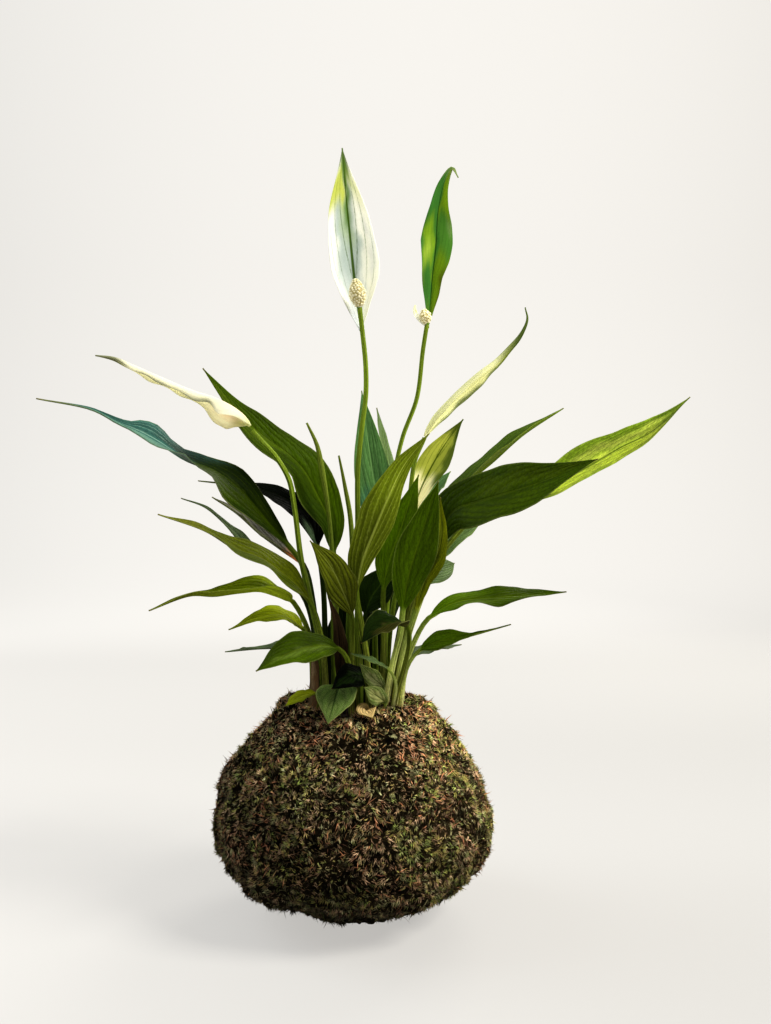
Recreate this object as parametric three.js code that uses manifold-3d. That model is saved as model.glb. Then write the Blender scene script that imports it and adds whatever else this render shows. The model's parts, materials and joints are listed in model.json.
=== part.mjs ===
// Kokedama: a peace lily growing from a ball of soil that is wrapped in moss.
// Millimetres, +Z up, origin at the centre of the ball's flat underside. The front is -Y.
import * as THREE from "three";
import { mergeVertices } from "three/addons/utils/BufferGeometryUtils.js";
import Module from "manifold-3d";

const wasm = await Module();
wasm.setup();

// The moss ball from its flat foot to the crest round its mouth: [half width, height, depth share]
const ballRows = [
  [18, 0, 1],
  [29, 3.5, 1],
  [40, 8, 1],
  [49.5, 13.5, 1],
  [57.5, 19.5, 1],
  [63.5, 27, 1],
  [67.5, 37, 1],
  [68.5, 47, 1],
  [66.5, 58, 1],
  [62.5, 69, 1],
  [57.5, 78, 0.99],
  [51.5, 86, 0.96],
  [46, 92, 0.92],
  [42, 96, 0.87],
  [38.5, 98.5, 0.81],
  [36.8, 98, 0.78],
];

// The wall between soil and moss, in the same form, up to the mouth
const wallRows = [
  [22, 10, 1],
  [43, 20, 1],
  [55, 35, 1],
  [58.5, 50, 1],
  [55, 67, 1],
  [47, 80, 0.95],
  [39.5, 89, 0.85],
  [35.8, 95.5, 0.775],
];

// The soil's loose top, where the stems come out
const soilTopRows = [
  [22, 99.5, 0.85],
];

const mossRelief = 1.3;
const brimStart = 84;
const brimRise = 3.5;
const mossSides = 36;
const soilSides = 18;

// Fits between neighbours, and the crown that every stem stands on
const gap = 0.3;
const crownTop = 87.7;
const stemHoleTop = 103;

// Leaf blades: how thick they are, how they taper, and how far one edge's waves lag behind the other's
const bladeThickness = 0.7;
const ribRatio = 1.25;
const petioleStep = 22;
const bladeSteps = 12;
const stepCrowding = 0.55;
const samplesPerSpan = 24;
const shootColumns = 3;
const spatheBase = 0.9;
const widestPlace = 0.42;
const baseRounding = 0.85;
const tipRounding = 1.15;
const stemFlare = 1.5;
const ribTaper = 0.7;
const edgeLag = 2.2;

const colours = {
  moss: 0x4c4a22,
  soil: 0x2a1d14,
  root: 0xb8a27c,
  leaf_green: 0x3c6b22,
  leaf_dark: 0x1f4019,
  leaf_olive: 0x6f8a2e,
  leaf_yellow: 0xa8ad3c,
  leaf_teal: 0x3d6b58,
  leaf_dry: 0xa08850,
  stalk_green: 0x6f9a3a,
  spathe_white: 0xe8ead8,
  spathe_cream: 0xe6dfa8,
  spathe_green: 0x5c9a28,
  spadix: 0xe0d6a4,
};

const vec = (point) => new THREE.Vector3(...point);
const mix = THREE.MathUtils.lerp;
const radians = THREE.MathUtils.degToRad;

// A smooth route through hand-placed points, measured along its length
class Route {
  constructor(points) {
    const curve = new THREE.CatmullRomCurve3(points.map(vec), false, "centripetal");
    this.samples = curve.getPoints(samplesPerSpan * (points.length - 1));
    this.lengths = [0];
    for (let i = 1; i < this.samples.length; i++) {
      const step = this.samples[i].distanceTo(this.samples[i - 1]);
      this.lengths.push(this.lengths[i - 1] + step);
    }
    this.total = this.lengths.at(-1);
  }

  lengthAtPoint(index) {
    return this.lengths[index * samplesPerSpan];
  }

  at(length) {
    const last = this.samples.length - 2;
    let i = 0;
    while (i < last && this.lengths[i + 1] < length) i++;
    const share = (length - this.lengths[i]) / (this.lengths[i + 1] - this.lengths[i]);
    return this.samples[i].clone().lerp(this.samples[i + 1], THREE.MathUtils.clamp(share, 0, 1));
  }

  along(length) {
    const reach = 0.5;
    const ahead = this.at(Math.min(length + reach, this.total));
    const behind = this.at(Math.max(length - reach, 0));
    return ahead.sub(behind).normalize();
  }
}

const squareTo = (direction, tangent) =>
  direction.clone().addScaledVector(tangent, -direction.dot(tangent)).normalize();

// Outline of a blade: 0 at both ends, 1 at its widest place
function bladeProfile(v, peak) {
  if (v < peak) return Math.sin((Math.PI / 2) * (v / peak)) ** baseRounding;
  return Math.max(Math.cos((Math.PI / 2) * ((v - peak) / (1 - peak))), 0) ** tipRounding;
}

// Stations along a blade stand closer together at its two ends
const bladeStations = (steps) => Array.from({ length: steps + 1 }, (_, i) =>
  mix(i / steps, 0.5 - 0.5 * Math.cos((Math.PI * i) / steps), stepCrowding));

// A value from a list that is spread evenly along the blade
function along(list, v) {
  const place = v * (list.length - 1);
  const low = Math.min(Math.floor(place), Math.max(list.length - 2, 0));
  return mix(list[low], list[Math.min(low + 1, list.length - 1)], place - low);
}

function facing(leaf, v) {
  const ways = leaf.faces.map((way) => vec(way).normalize());
  return vec([0, 1, 2].map((axis) => along(ways.map((way) => way.getComponent(axis)), v)));
}

const upright = new THREE.Vector3(0, 0, 1);

// Cross-sections of a stem, then of the blade that it carries, from the foot to the tip
function leafSections(leaf) {
  const route = new Route(leaf.path);
  const neckLength = route.lengthAtPoint(leaf.neck);
  const bladeLength = route.total - neckLength;
  const blade = bladeStations(leaf.steps ?? bladeSteps).map((v) => {
    const length = neckLength + v * bladeLength;
    const tangent = route.along(length);
    return { v, length, tangent, up: squareTo(facing(leaf, v), tangent), centre: route.at(length) };
  });
  const steps = neckLength > 0 ? Math.max(Math.round(neckLength / petioleStep), 2) : 0;
  const stem = [];
  let up = blade[0].up;
  for (let i = steps - 1; i >= 0; i--) {
    const length = (neckLength * i) / steps;
    const tangent = i === 0 ? upright : route.along(length);
    up = squareTo(up, tangent);
    stem.unshift({ v: -1, length, tangent, up, centre: route.at(length) });
  }
  const [footRadius, neckRadius] = leaf.stem;
  const sections = [...stem, ...blade];
  for (const section of sections) {
    const share = neckLength > 0 ? Math.min(section.length / neckLength, 1) : 1;
    section.side = new THREE.Vector3().crossVectors(section.tangent, section.up);
    section.radius = mix(neckRadius, footRadius, (1 - share) ** stemFlare);
  }
  return sections;
}

// Round stem section: as many points as the blade has, on a circle
function stemRing(section, columns, radius = section.radius) {
  const spread = 180 * (1 - 1 / columns);
  const points = [];
  for (const middle of [90, -90]) {
    for (let i = 0; i < columns; i++) {
      const turn = radians(middle + spread / 2 - (spread * i) / (columns - 1));
      points.push(section.centre.clone()
        .addScaledVector(section.side, Math.cos(turn) * radius)
        .addScaledVector(section.up, Math.sin(turn) * radius));
    }
  }
  return points;
}

// Where a blade's section runs at u, from -1 at one edge to 1 at the other: how far across,
// how far up, and how far it leans there. A rolled blade is an arc, any other is folded.
function bladePoint(leaf, v, u, halfWidth, profile) {
  const waveTurn = 2 * Math.PI * leaf.waves * v + leaf.phase + (u < 0 ? 0 : edgeLag);
  const wave = leaf.wave * profile * u ** 2 * Math.sin(waveTurn);
  if (leaf.roll) {
    const roll = radians(along(leaf.roll, v));
    const radius = halfWidth / roll;
    const lean = u * roll;
    return { across: radius * Math.sin(lean), rise: radius * (1 - Math.cos(lean)) + wave, lean };
  }
  const fold = radians(along(leaf.fold, v));
  const rise = halfWidth * Math.sin(fold) * (Math.abs(u) - 0.5) + wave;
  return { across: halfWidth * u * Math.cos(fold), rise, lean: Math.sign(u) * fold };
}

function bladeRing(section, leaf, columns) {
  const v = section.v;
  const profile = bladeProfile(v, leaf.peak ?? widestPlace);
  const fullness = along(leaf.fullness ?? [1], v);
  const halfWidth = Math.max((leaf.width / 2) * profile * fullness, mix(leaf.stem[1], 0.5, v));
  const rib = leaf.stem[1] * ribRatio * (1 - v) ** ribTaper;
  const half = bladeThickness / 2;
  const top = [];
  const bottom = [];
  for (let i = 0; i < columns; i++) {
    const u = (2 * i) / (columns - 1) - 1;
    const { across, rise, lean } = bladePoint(leaf, v, u, halfWidth, profile);
    const { centre, side, up } = section;
    const middle = centre.clone().addScaledVector(side, across).addScaledVector(up, rise);
    const outward = up.clone().multiplyScalar(Math.cos(lean)).addScaledVector(side, -Math.sin(lean));
    top.push(middle.clone().addScaledVector(outward, half));
    bottom.unshift(middle.clone().addScaledVector(outward, -half - (u === 0 ? rib : 0)));
  }
  return [...top, ...bottom];
}

// Closed skin over a row of rings. Strips on the lower face are split like those above them.
function skin(rings, columns = 0) {
  const count = rings[0].length;
  const positions = rings.flatMap((ring) => ring.flatMap((point) => point.toArray()));
  const indices = [];
  for (let i = 0; i < rings.length - 1; i++) {
    for (let j = 0; j < count; j++) {
      const next = (j + 1) % count;
      const [a, b] = [i * count + j, i * count + next];
      const [c, d] = [b + count, a + count];
      if (columns && j >= columns) indices.push(a, b, d, b, c, d);
      else indices.push(a, b, c, a, c, d);
    }
  }
  const last = (rings.length - 1) * count;
  for (let j = 1; j < count - 1; j++) indices.push(0, j + 1, j);
  const hub = columns ? (columns - 1) / 2 : 0;
  for (let j = 1; j < count - 1; j++) {
    indices.push(last + hub, last + ((hub + j) % count), last + ((hub + j + 1) % count));
  }
  const geometry = new THREE.BufferGeometry();
  geometry.setAttribute("position", new THREE.Float32BufferAttribute(positions, 3));
  geometry.setIndex(indices);
  return geometry;
}

function leafGeometry(leaf) {
  const columns = leaf.columns ?? 3;
  const rings = leafSections(leaf).map((section) =>
    section.v < 0.01 ? stemRing(section, columns) : bladeRing(section, leaf, columns));
  return skin(rings, columns);
}

// Round shoot along a route, with its radius given at even steps
function shootSections(shoot) {
  const route = new Route(shoot.path);
  const steps = shoot.steps ?? Math.max(Math.round(route.total / petioleStep), 3);
  const sections = [];
  let up = new THREE.Vector3(0, -1, 0);
  for (let i = 0; i <= steps; i++) {
    const share = i / steps;
    const tangent = i === 0 && !shoot.free ? upright : route.along(share * route.total);
    up = squareTo(up, tangent);
    const side = new THREE.Vector3().crossVectors(tangent, up);
    const centre = route.at(share * route.total);
    sections.push({ tangent, up, side, centre, radius: along(shoot.radii, share) });
  }
  return sections;
}

const shootGeometry = (shoot, extra = 0) =>
  skin(shootSections(shoot).map((section) => stemRing(section, shootColumns, section.radius + extra)));

// The plain six-sided hole that a stem stands in, a little wider than the stem
function stemHole(sections) {
  const reach = sections.findIndex((section) => section.centre.z > stemHoleTop);
  const [foot, ...above] = sections.slice(0, reach + 1);
  const down = foot.centre.clone().sub(above[0].centre).setLength(2 * gap);
  const start = { ...foot, centre: foot.centre.clone().add(down) };
  return skin([start, ...above].map((section) =>
    stemRing(section, shootColumns, (section.radius + gap) / Math.cos(Math.PI / 6) + 0.05)));
}

const body = (geometry) => {
  const plain = new THREE.BufferGeometry();
  plain.setAttribute("position", geometry.getAttribute("position").clone());
  if (geometry.index) plain.setIndex(geometry.index.clone());
  const merged = mergeVertices(plain, 1e-4);
  return new wasm.Manifold(new wasm.Mesh({
    numProp: 3,
    vertProperties: new Float32Array(merged.getAttribute("position").array),
    triVerts: new Uint32Array(merged.index.array),
  }));
};

function fromBody(solid) {
  const mesh = solid.getMesh();
  const geometry = new THREE.BufferGeometry();
  geometry.setAttribute("position", new THREE.BufferAttribute(new Float32Array(mesh.vertProperties), 3));
  geometry.setIndex(new THREE.BufferAttribute(new Uint32Array(mesh.triVerts), 1));
  return geometry;
}

const joined = (geometries) => geometries.map(body).reduce((whole, piece) => whole.add(piece));

// Closed surface over rows of rings that start and end at single points on the axis
function turned(rows, columns, place) {
  const positions = [...place(rows[0], 0)];
  for (const row of rows.slice(1, -1)) {
    for (let j = 0; j < columns; j++) positions.push(...place(row, (2 * Math.PI * j) / columns));
  }
  positions.push(...place(rows.at(-1), 0));
  const indices = [];
  const ring = (i) => 1 + (i - 1) * columns;
  const end = positions.length / 3 - 1;
  for (let j = 0; j < columns; j++) {
    const next = (j + 1) % columns;
    indices.push(0, ring(1) + next, ring(1) + j);
    for (let i = 1; i < rows.length - 2; i++) {
      const [a, b] = [ring(i) + j, ring(i) + next];
      const [c, d] = [ring(i + 1) + next, ring(i + 1) + j];
      indices.push(a, b, c, a, c, d);
    }
    indices.push(ring(rows.length - 2) + j, ring(rows.length - 2) + next, end);
  }
  const geometry = new THREE.BufferGeometry();
  geometry.setAttribute("position", new THREE.Float32BufferAttribute(positions, 3));
  geometry.setIndex(indices);
  return geometry;
}

// Tufts and hollows of the moss, with a cleft low on the front. They fade at the flat foot.
function mossLump(angle, z) {
  const height = z / 100;
  const lumps = Math.sin(5 * angle + 1.3) * Math.sin(7 * height + 0.4)
    + 0.7 * Math.sin(9 * angle - 11 * height) + 0.5 * Math.sin(15 * angle + 17 * height);
  const fromCleft = Math.atan2(Math.sin(angle + 1.62), Math.cos(angle + 1.62));
  const cleft = 2.4 * Math.exp(-((fromCleft / 0.09) ** 2)) * Math.exp(-((height - 0.12) ** 2) / 0.02);
  return Math.min(z / 12, 1) * (mossRelief * lumps - cleft);
}

const ovalPoint = (radius, z, squeeze, angle) =>
  [radius * Math.cos(angle), radius * squeeze * Math.sin(angle), z];

function mossCover() {
  const inside = wallRows.map(([radius, z, squeeze]) => [radius + gap, z, squeeze, "inside"]).reverse();
  const rows = [[0, 0, 1], ...ballRows, ...inside, [0, wallRows[0][1] - gap, 1]];
  inside.at(-1)[1] -= gap;
  return turned(rows, mossSides, ([radius, z, squeeze, inner], angle) => {
    if (inner || radius === 0) return ovalPoint(radius, z, squeeze, angle);
    const lump = mossLump(angle, z);
    const brim = brimRise * Math.sin(angle) ** 2 * THREE.MathUtils.clamp((z - brimStart) / 14, 0, 1);
    return ovalPoint(radius + lump, z + brim, squeeze, angle);
  });
}

function soilBody() {
  const rows = [[0, wallRows[0][1], 1], ...wallRows, ...soilTopRows, [0, soilTopRows.at(-1)[1], 1]];
  return turned(rows, soilSides, ([radius, z, squeeze], angle) => {
    return ovalPoint(radius, z, squeeze, angle);
  });
}

// Crown that all stems stand on, and the thick roots that run down into the soil
const crownRows = [
  [0, 73],
  [17, 74],
  [30, 79],
  [33, 84],
  [32, crownTop],
  [0, crownTop],
];
const crownSqueeze = 0.76;
const rootEnds = [[38, -14], [30, 26], [6, 36], [-22, 30], [-40, 8], [-34, -22], [-8, -36], [18, -32]];

function crownAndRoots(extra) {
  const crown = turned(crownRows, 16, ([radius, z], angle) => {
    const reach = radius > 0 ? radius + extra / crownSqueeze : 0;
    return ovalPoint(reach, z + (z < 80 ? -extra : extra), crownSqueeze, angle);
  });
  const roots = rootEnds.map(([x, y], i) => shootGeometry({
    path: [
      [x * 0.3, y * 0.3, 80],
      [x * 0.55, y * 0.55, 66],
      [x * 0.85, y * 0.85, 48],
      [x, y, 30 + 4 * (i % 3)],
    ],
    radii: [3, 2.4, 1.8, 1.1],
    steps: 4,
    free: true,
  }, extra));
  return joined([crown, ...roots]);
}

// Leaves. path runs from the foot in the crown to the tip, neck is the path point where the blade
// begins, faces are the ways that the upper side looks, spread evenly from the neck to the tip.
// fold is how far each half is turned up, in degrees, and roll bends the section to an arc instead.
// fullness narrows parts of the blade, wave is how far its edges go up and down.
const leaves = [
  {
    name: "leaf_far_left", colour: "leaf_teal", neck: 4, width: 24, columns: 5,
    path: [[-14.5, 2, 88], [-16, 0, 130], [-21, -3, 153], [-26, -5, 174], [-31, -6, 181], [-45, -11, 199],
      [-54, -15, 210], [-65, -18, 219], [-78, -22, 225], [-94, -27, 235], [-109, -32, 241],
      [-121, -37, 247], [-144, -44, 251]],
    faces: [[0.4, -0.8, 0.4], [0.4, -0.7, 0.6], [0.3, -0.1, 0.9], [0.3, -0.8, 0.5], [0, -0.2, 1]],
    fold: [16], wave: 0.8, waves: 2.5, phase: 0, peak: 0.36, stem: [2, 1.3],
    fullness: [0.8, 0.75, 0.7, 0.75, 0.5, 1, 1.1, 0.25, 0.1, 0.25, 0.4],
  },
  {
    name: "leaf_left_tall", colour: "leaf_dark", neck: 3, width: 24, columns: 5,
    path: [[-9, 6, 88], [-10, 6, 130], [-9, 3, 155], [-10, -1, 177], [-11, -3, 193], [-17, -6, 207],
      [-24, -8, 220], [-33, -10, 229], [-43, -11, 236], [-55, -13, 247], [-73, -15, 269]],
    faces: [[0.5, -0.8, 0.3], [0.4, -0.8, 0.4]],
    fold: [12], wave: 1, waves: 2.5, phase: 1, peak: 0.34, stem: [2, 1.4],
    fullness: [1, 1, 0.93, 0.93, 1],
  },
  {
    name: "leaf_left_shaded", colour: "leaf_dark", neck: 3, width: 18,
    path: [[-14.5, 8, 88], [-15, 11, 128], [-16, 13, 159], [-19, 16, 180], [-22, 18, 192], [-29, 22, 202],
      [-39, 26, 208], [-57, 34, 213], [-86, 42, 216]],
    faces: [[0.4, -0.7, 0.5], [0.1, -0.6, 0.8], [0, 0, 1]],
    fold: [14], wave: 0.8, waves: 2.5, phase: 2, peak: 0.3, stem: [1.9, 1.3],
    fullness: [1, 1.1, 1, 0.7, 0.4, 0.3, 0.3],
  },
  {
    name: "leaf_left_mauve", colour: "leaf_green", neck: 3, width: 16,
    path: [[-20, 5, 88], [-19, 6, 129], [-21, 8, 154], [-26, 11, 172], [-36, 15, 180], [-49, 20, 189],
      [-62, 26, 199], [-77, 34, 207]],
    faces: [[0.4, -0.2, 0.8], [0.2, 0, 1]],
    fold: [16], wave: 0.8, waves: 2, phase: 0.6, stem: [1.9, 1.2],
  },
  {
    name: "leaf_left_thin", colour: "leaf_teal", neck: 3, width: 8,
    path: [[-20, 11, 88], [-20, 15, 128], [-26, 20, 153], [-38, 30, 165], [-49, 40, 173], [-61, 50, 182],
      [-73, 60, 192], [-87, 70, 202], [-103, 80, 207]],
    faces: [[0.3, -0.1, 1]],
    fold: [10], wave: 0.8, waves: 2, phase: 0, stem: [1.8, 1.1], steps: 8,
  },
  {
    name: "leaf_left_olive", colour: "leaf_olive", neck: 3, width: 18, columns: 5,
    path: [[-13, -9, 88], [-14, -14, 127], [-16, -17, 142], [-20, -20, 155], [-25, -23, 163],
      [-33, -27, 171], [-42, -32, 178], [-52, -37, 182], [-66, -45, 191], [-86, -54, 198]],
    faces: [[0.4, -0.5, 0.7], [0.2, -0.3, 0.9]],
    fold: [12], wave: 0.8, waves: 3, phase: 2, peak: 0.36, stem: [2, 1.3],
    fullness: [1, 1.15, 1, 0.8, 0.7, 0.7],
  },
  {
    name: "leaf_left_level", colour: "leaf_olive", neck: 3, width: 22, columns: 5,
    path: [[-20, -5, 88], [-19, -7, 126], [-23, -10, 143], [-29, -14, 155], [-34, -18, 160],
      [-43, -23, 164], [-53, -28, 163], [-64, -33, 161], [-75, -38, 161], [-92, -46, 154]],
    faces: [[0, -0.25, 1], [0, -0.15, 1], [0, -0.1, 1]],
    fold: [30, 30, 24], wave: 1, waves: 1.5, phase: 1.5, peak: 0.3, stem: [1.9, 1.2],
    fullness: [1, 1.1, 0.8, 0.5, 0.4, 0.45, 0.5],
  },
  {
    name: "leaf_left_yellow", colour: "leaf_yellow", neck: 3, width: 15,
    path: [[-20, 0, 88], [-21, -1, 125], [-22, -2, 135], [-25, -5, 141], [-30, -7, 146], [-36, -10, 149],
      [-45, -13, 148], [-60, -18, 142]],
    faces: [[0, -0.45, 0.9]],
    fold: [10], wave: 0.6, waves: 1.5, phase: 0, stem: [1.9, 1.1], peak: 0.34, fullness: [1, 1, 0.75, 0.7],
  },
  {
    name: "leaf_back_grey", colour: "leaf_teal", neck: 2, width: 17,
    path: [[-19, 17, 88], [-19, 23, 117], [-27, 34, 124], [-39, 48, 125], [-54, 62, 123], [-78, 84, 117]],
    faces: [[0, -0.1, 1]],
    fold: [8], wave: 0.8, waves: 2, phase: 0, stem: [1.9, 1.2], steps: 8,
  },
  {
    name: "leaf_front_left", colour: "leaf_green", neck: 3, width: 20, columns: 5,
    path: [[0, -15, 88], [-1, -22, 118], [-2, -28, 129], [-6, -34, 135], [-15, -43, 138], [-27, -52, 136],
      [-41, -62, 129]],
    faces: [[-0.1, -0.75, 0.65], [-0.2, -0.7, 0.7]],
    fold: [10], wave: 0.5, waves: 1.5, phase: 0, stem: [1.8, 1.1],
  },
  {
    name: "leaf_front_olive", colour: "leaf_olive", neck: 3, width: 19, columns: 5,
    path: [[8, -10, 88], [7, -16, 127], [4, -20, 147], [2, -23, 161], [4, -27, 175], [10, -31, 191],
      [16, -35, 205], [24, -39, 221], [36, -44, 235]],
    faces: [[-0.3, 0.9, 0.3], [-0.4, 0.8, 0.5]],
    fold: [12], wave: 0.6, waves: 2, phase: 0, stem: [1.9, 1.4],
  },
  {
    name: "leaf_front_short", colour: "leaf_olive", neck: 3, width: 16,
    path: [[1, -9, 88], [0, -16, 127], [0, -22, 140], [0, -28, 150], [-4, -36, 163], [-9, -43, 174],
      [-18, -51, 186]],
    faces: [[0.2, -0.9, 0.3]],
    fold: [8], wave: 0.6, waves: 2, phase: 1, stem: [1.7, 1.2],
  },
  {
    name: "leaf_back_teal", colour: "leaf_teal", neck: 3, width: 20, columns: 5,
    path: [[5, 11, 88], [6, 12, 128], [11, 15, 153], [13, 18, 174], [12, 24, 200], [8, 32, 227],
      [3, 42, 265]],
    faces: [[-0.2, -0.9, 0.2]],
    fold: [12], wave: 0.6, waves: 2, phase: 0, stem: [1.9, 1.3],
  },
  {
    name: "leaf_back_pale", colour: "leaf_teal", neck: 3, width: 15,
    path: [[10, 16, 88], [15, 22, 132], [21, 32, 163], [22, 42, 189], [19, 54, 217], [15, 64, 239],
      [11, 74, 259]],
    faces: [[0.8, -0.5, 0.2]],
    fold: [12], wave: 0.6, waves: 2, phase: 0, stem: [1.9, 1.2], steps: 8,
  },
  {
    name: "leaf_centre_bright", colour: "leaf_green", neck: 3, width: 17,
    path: [[12.3, -10, 88], [15, -11, 131], [15, -13, 149], [15, -14, 161], [18, -15, 176], [24, -17, 193],
      [32, -20, 217]],
    faces: [[-0.3, -0.9, 0.2]],
    fold: [10], wave: 0.8, waves: 2, phase: 0, stem: [1.8, 1.3],
  },
  {
    name: "leaf_front_right", colour: "leaf_olive", neck: 3, width: 19, columns: 5,
    path: [[13, -16, 88], [20, -26, 129], [23, -30, 141], [24, -33, 152], [27, -38, 170], [33, -43, 190],
      [40, -50, 213]],
    faces: [[0.1, -0.95, 0.2]],
    fold: [8], wave: 0.6, waves: 2, phase: 0, stem: [1.8, 1.4],
  },
  {
    name: "leaf_right_narrow", colour: "leaf_yellow", neck: 2, width: 10,
    path: [[18, -10, 88], [25, -15, 132], [30.5, -18, 151], [35, -22, 166], [42, -25, 183], [42, -30, 206]],
    faces: [[0.5, -0.8, 0]],
    fold: [12], wave: 0.4, waves: 2, phase: 0, stem: [1.9, 1.4], steps: 8,
  },
  {
    name: "leaf_right_broad", colour: "leaf_dark", neck: 3, width: 32, columns: 5,
    path: [[19, -4, 88], [25.5, -5, 131], [35, -10, 161], [42, -15, 182], [45, -19, 195], [50, -22, 201],
      [60, -27, 204.5], [73, -34, 208.5], [87, -40, 213], [112, -50, 223]],
    faces: [[-0.4, -0.8, 0.5], [-0.2, -0.8, 0.6], [-0.1, -0.7, 0.7]],
    fold: [8], wave: 0.8, waves: 2, phase: 0, peak: 0.42, stem: [2, 1.4],
  },
  {
    name: "leaf_right_far", colour: "leaf_olive", neck: 5, width: 26, columns: 5,
    path: [[22, 1, 88], [25.5, 4, 129], [31, 6, 153], [39.5, 9, 170], [60, 15, 195], [75, 19, 204], [90, 22, 209],
      [103, 25, 215], [122, 30, 224], [142, 36, 235], [159, 40, 243], [183, 46, 262]],
    faces: [[-0.35, 0.7, 0.6]],
    fold: [10], wave: 1, waves: 2.5, phase: 0, stem: [2, 1.3],
  },
  {
    name: "leaf_right_up", colour: "leaf_green", neck: 3, width: 18,
    path: [[19, 5, 88], [24.5, 9, 134], [34, 12, 174], [42, 15, 201], [56, 20, 215], [71, 25, 227],
      [88, 30, 241], [112, 37, 255]],
    faces: [[-0.5, -0.2, 0.85]],
    fold: [24], wave: 0.6, waves: 2, phase: 0, stem: [2, 1.3],
  },
  {
    name: "leaf_back_right_teal", colour: "leaf_teal", neck: 3, width: 16,
    path: [[14.5, 15.5, 88], [22.5, 21, 132], [30, 30, 173], [33, 40, 196], [41, 52, 211], [53, 66, 222]],
    faces: [[-0.3, -0.5, 0.8]],
    fold: [12], wave: 0.6, waves: 2, phase: 0, stem: [1.9, 1.2], steps: 8,
  },
  {
    name: "leaf_right_low", colour: "leaf_green", neck: 3, width: 17, columns: 5,
    path: [[22.3, -9, 88], [25.5, -10, 121], [30.5, -10, 136], [37, -13, 147], [50, -18, 155.5], [68, -25, 158.5],
      [84, -31, 160], [100, -38, 162]],
    faces: [[0, -0.4, 0.9]],
    fold: [8], wave: 1.2, waves: 2.5, phase: 0, stem: [1.9, 1.2],
  },
  {
    name: "leaf_right_lowest", colour: "leaf_green", neck: 3, width: 11,
    path: [[22, -15, 88], [24.5, -20, 116], [27, -23, 126], [32, -26, 133], [40, -30, 138], [52, -36, 141],
      [73, -48, 148]],
    faces: [[-0.2, -0.5, 0.8]],
    fold: [10], wave: 0.4, waves: 1.5, phase: 0, peak: 0.26, stem: [1.7, 0.9],
    fullness: [1, 1.1, 0.9, 0.45, 0.25, 0.3],
  },
  {
    name: "leaf_back_right_low", colour: "leaf_teal", neck: 2, width: 15,
    path: [[23.8, 7, 88], [25.5, 19.5, 114], [28, 32, 121], [36, 46, 123], [46, 60, 123], [60, 78, 122]],
    faces: [[0, -0.15, 1]],
    fold: [10], wave: 0.6, waves: 2, phase: 0, stem: [1.8, 1.1], steps: 8,
  },
  {
    name: "leaf_back_right_grey", colour: "leaf_teal", neck: 3, width: 17,
    path: [[18, 10.5, 88], [23.7, 15, 120], [30, 20, 145], [37, 28, 167], [47, 38, 181], [59, 50, 190.5],
      [76, 66, 201]],
    faces: [[-0.3, -0.8, 0.5]],
    fold: [12], wave: 0.6, waves: 2, phase: 0, stem: [1.8, 1.2], steps: 8,
  },
  {
    name: "leaf_back_blunt", colour: "leaf_teal", neck: 2, width: 19,
    path: [[6, 20, 88], [16, 30, 130], [24, 46, 151], [33, 62, 161], [45, 76, 166], [57, 92, 168.5]],
    faces: [[0.4, -0.6, 0.6]],
    fold: [10], wave: 0.6, waves: 1.5, phase: 0, peak: 0.6, stem: [1.8, 1.2], steps: 8,
    fullness: [0.4, 0.6, 0.8, 1, 1.15, 1.5],
  },
  {
    name: "leaf_centre_dark", colour: "leaf_dark", neck: 2, width: 19,
    path: [[6, -4, 88], [6, -5, 135], [6, -6, 148], [9, -6, 157], [14, -6, 164], [20, -6, 174]],
    faces: [[-0.3, -0.9, 0.3]],
    fold: [8], wave: 0.5, waves: 1.5, phase: 0, stem: [1.6, 1.1], steps: 8,
  },
  {
    name: "leaf_front_droop", colour: "leaf_dark", neck: 4, width: 17, columns: 5,
    path: [[17.5, -15, 88], [20.5, -18, 108], [24.5, -29, 124], [27, -37, 138], [26, -43, 147], [20, -48, 150],
      [12, -51, 147], [5, -53, 140]],
    faces: [[-0.5, -0.4, 0.8], [-0.3, -0.8, 0.6]],
    fold: [22], wave: 0.8, waves: 1.5, phase: 0, stem: [1.6, 1.1],
  },
  {
    name: "leaf_low_left", colour: "leaf_dark", neck: 1, width: 18,
    path: [[-11, 18, 88], [-11, 19, 104], [-9, 20, 122], [-7, 21, 140], [-6, 22, 158]],
    faces: [[-0.1, -0.9, 0.2]],
    fold: [10], wave: 0.6, waves: 1.5, phase: 0, stem: [1.8, 1.3], steps: 8,
  },
  {
    name: "leaf_low_middle", colour: "leaf_dark", neck: 1, width: 17,
    path: [[-1, 16, 88], [1, 16, 102], [5, 16, 118], [8, 17.5, 136], [9, 19, 152]],
    faces: [[0.1, -0.9, 0.2]],
    fold: [8], wave: 0.4, waves: 1.5, phase: 1, stem: [1.8, 1.2], steps: 8,
  },
  {
    name: "leaf_centre_brown", colour: "leaf_dry", neck: 1, width: 8,
    path: [[-6, -11, 88], [-6.5, -12, 112], [-6, -13, 130], [-8, -14, 146], [-12, -15, 158]],
    faces: [[0.3, -0.9, 0.2]],
    fold: [30], wave: 0.6, waves: 2, phase: 0, stem: [1.4, 1.2], steps: 8,
  },
];

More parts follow.
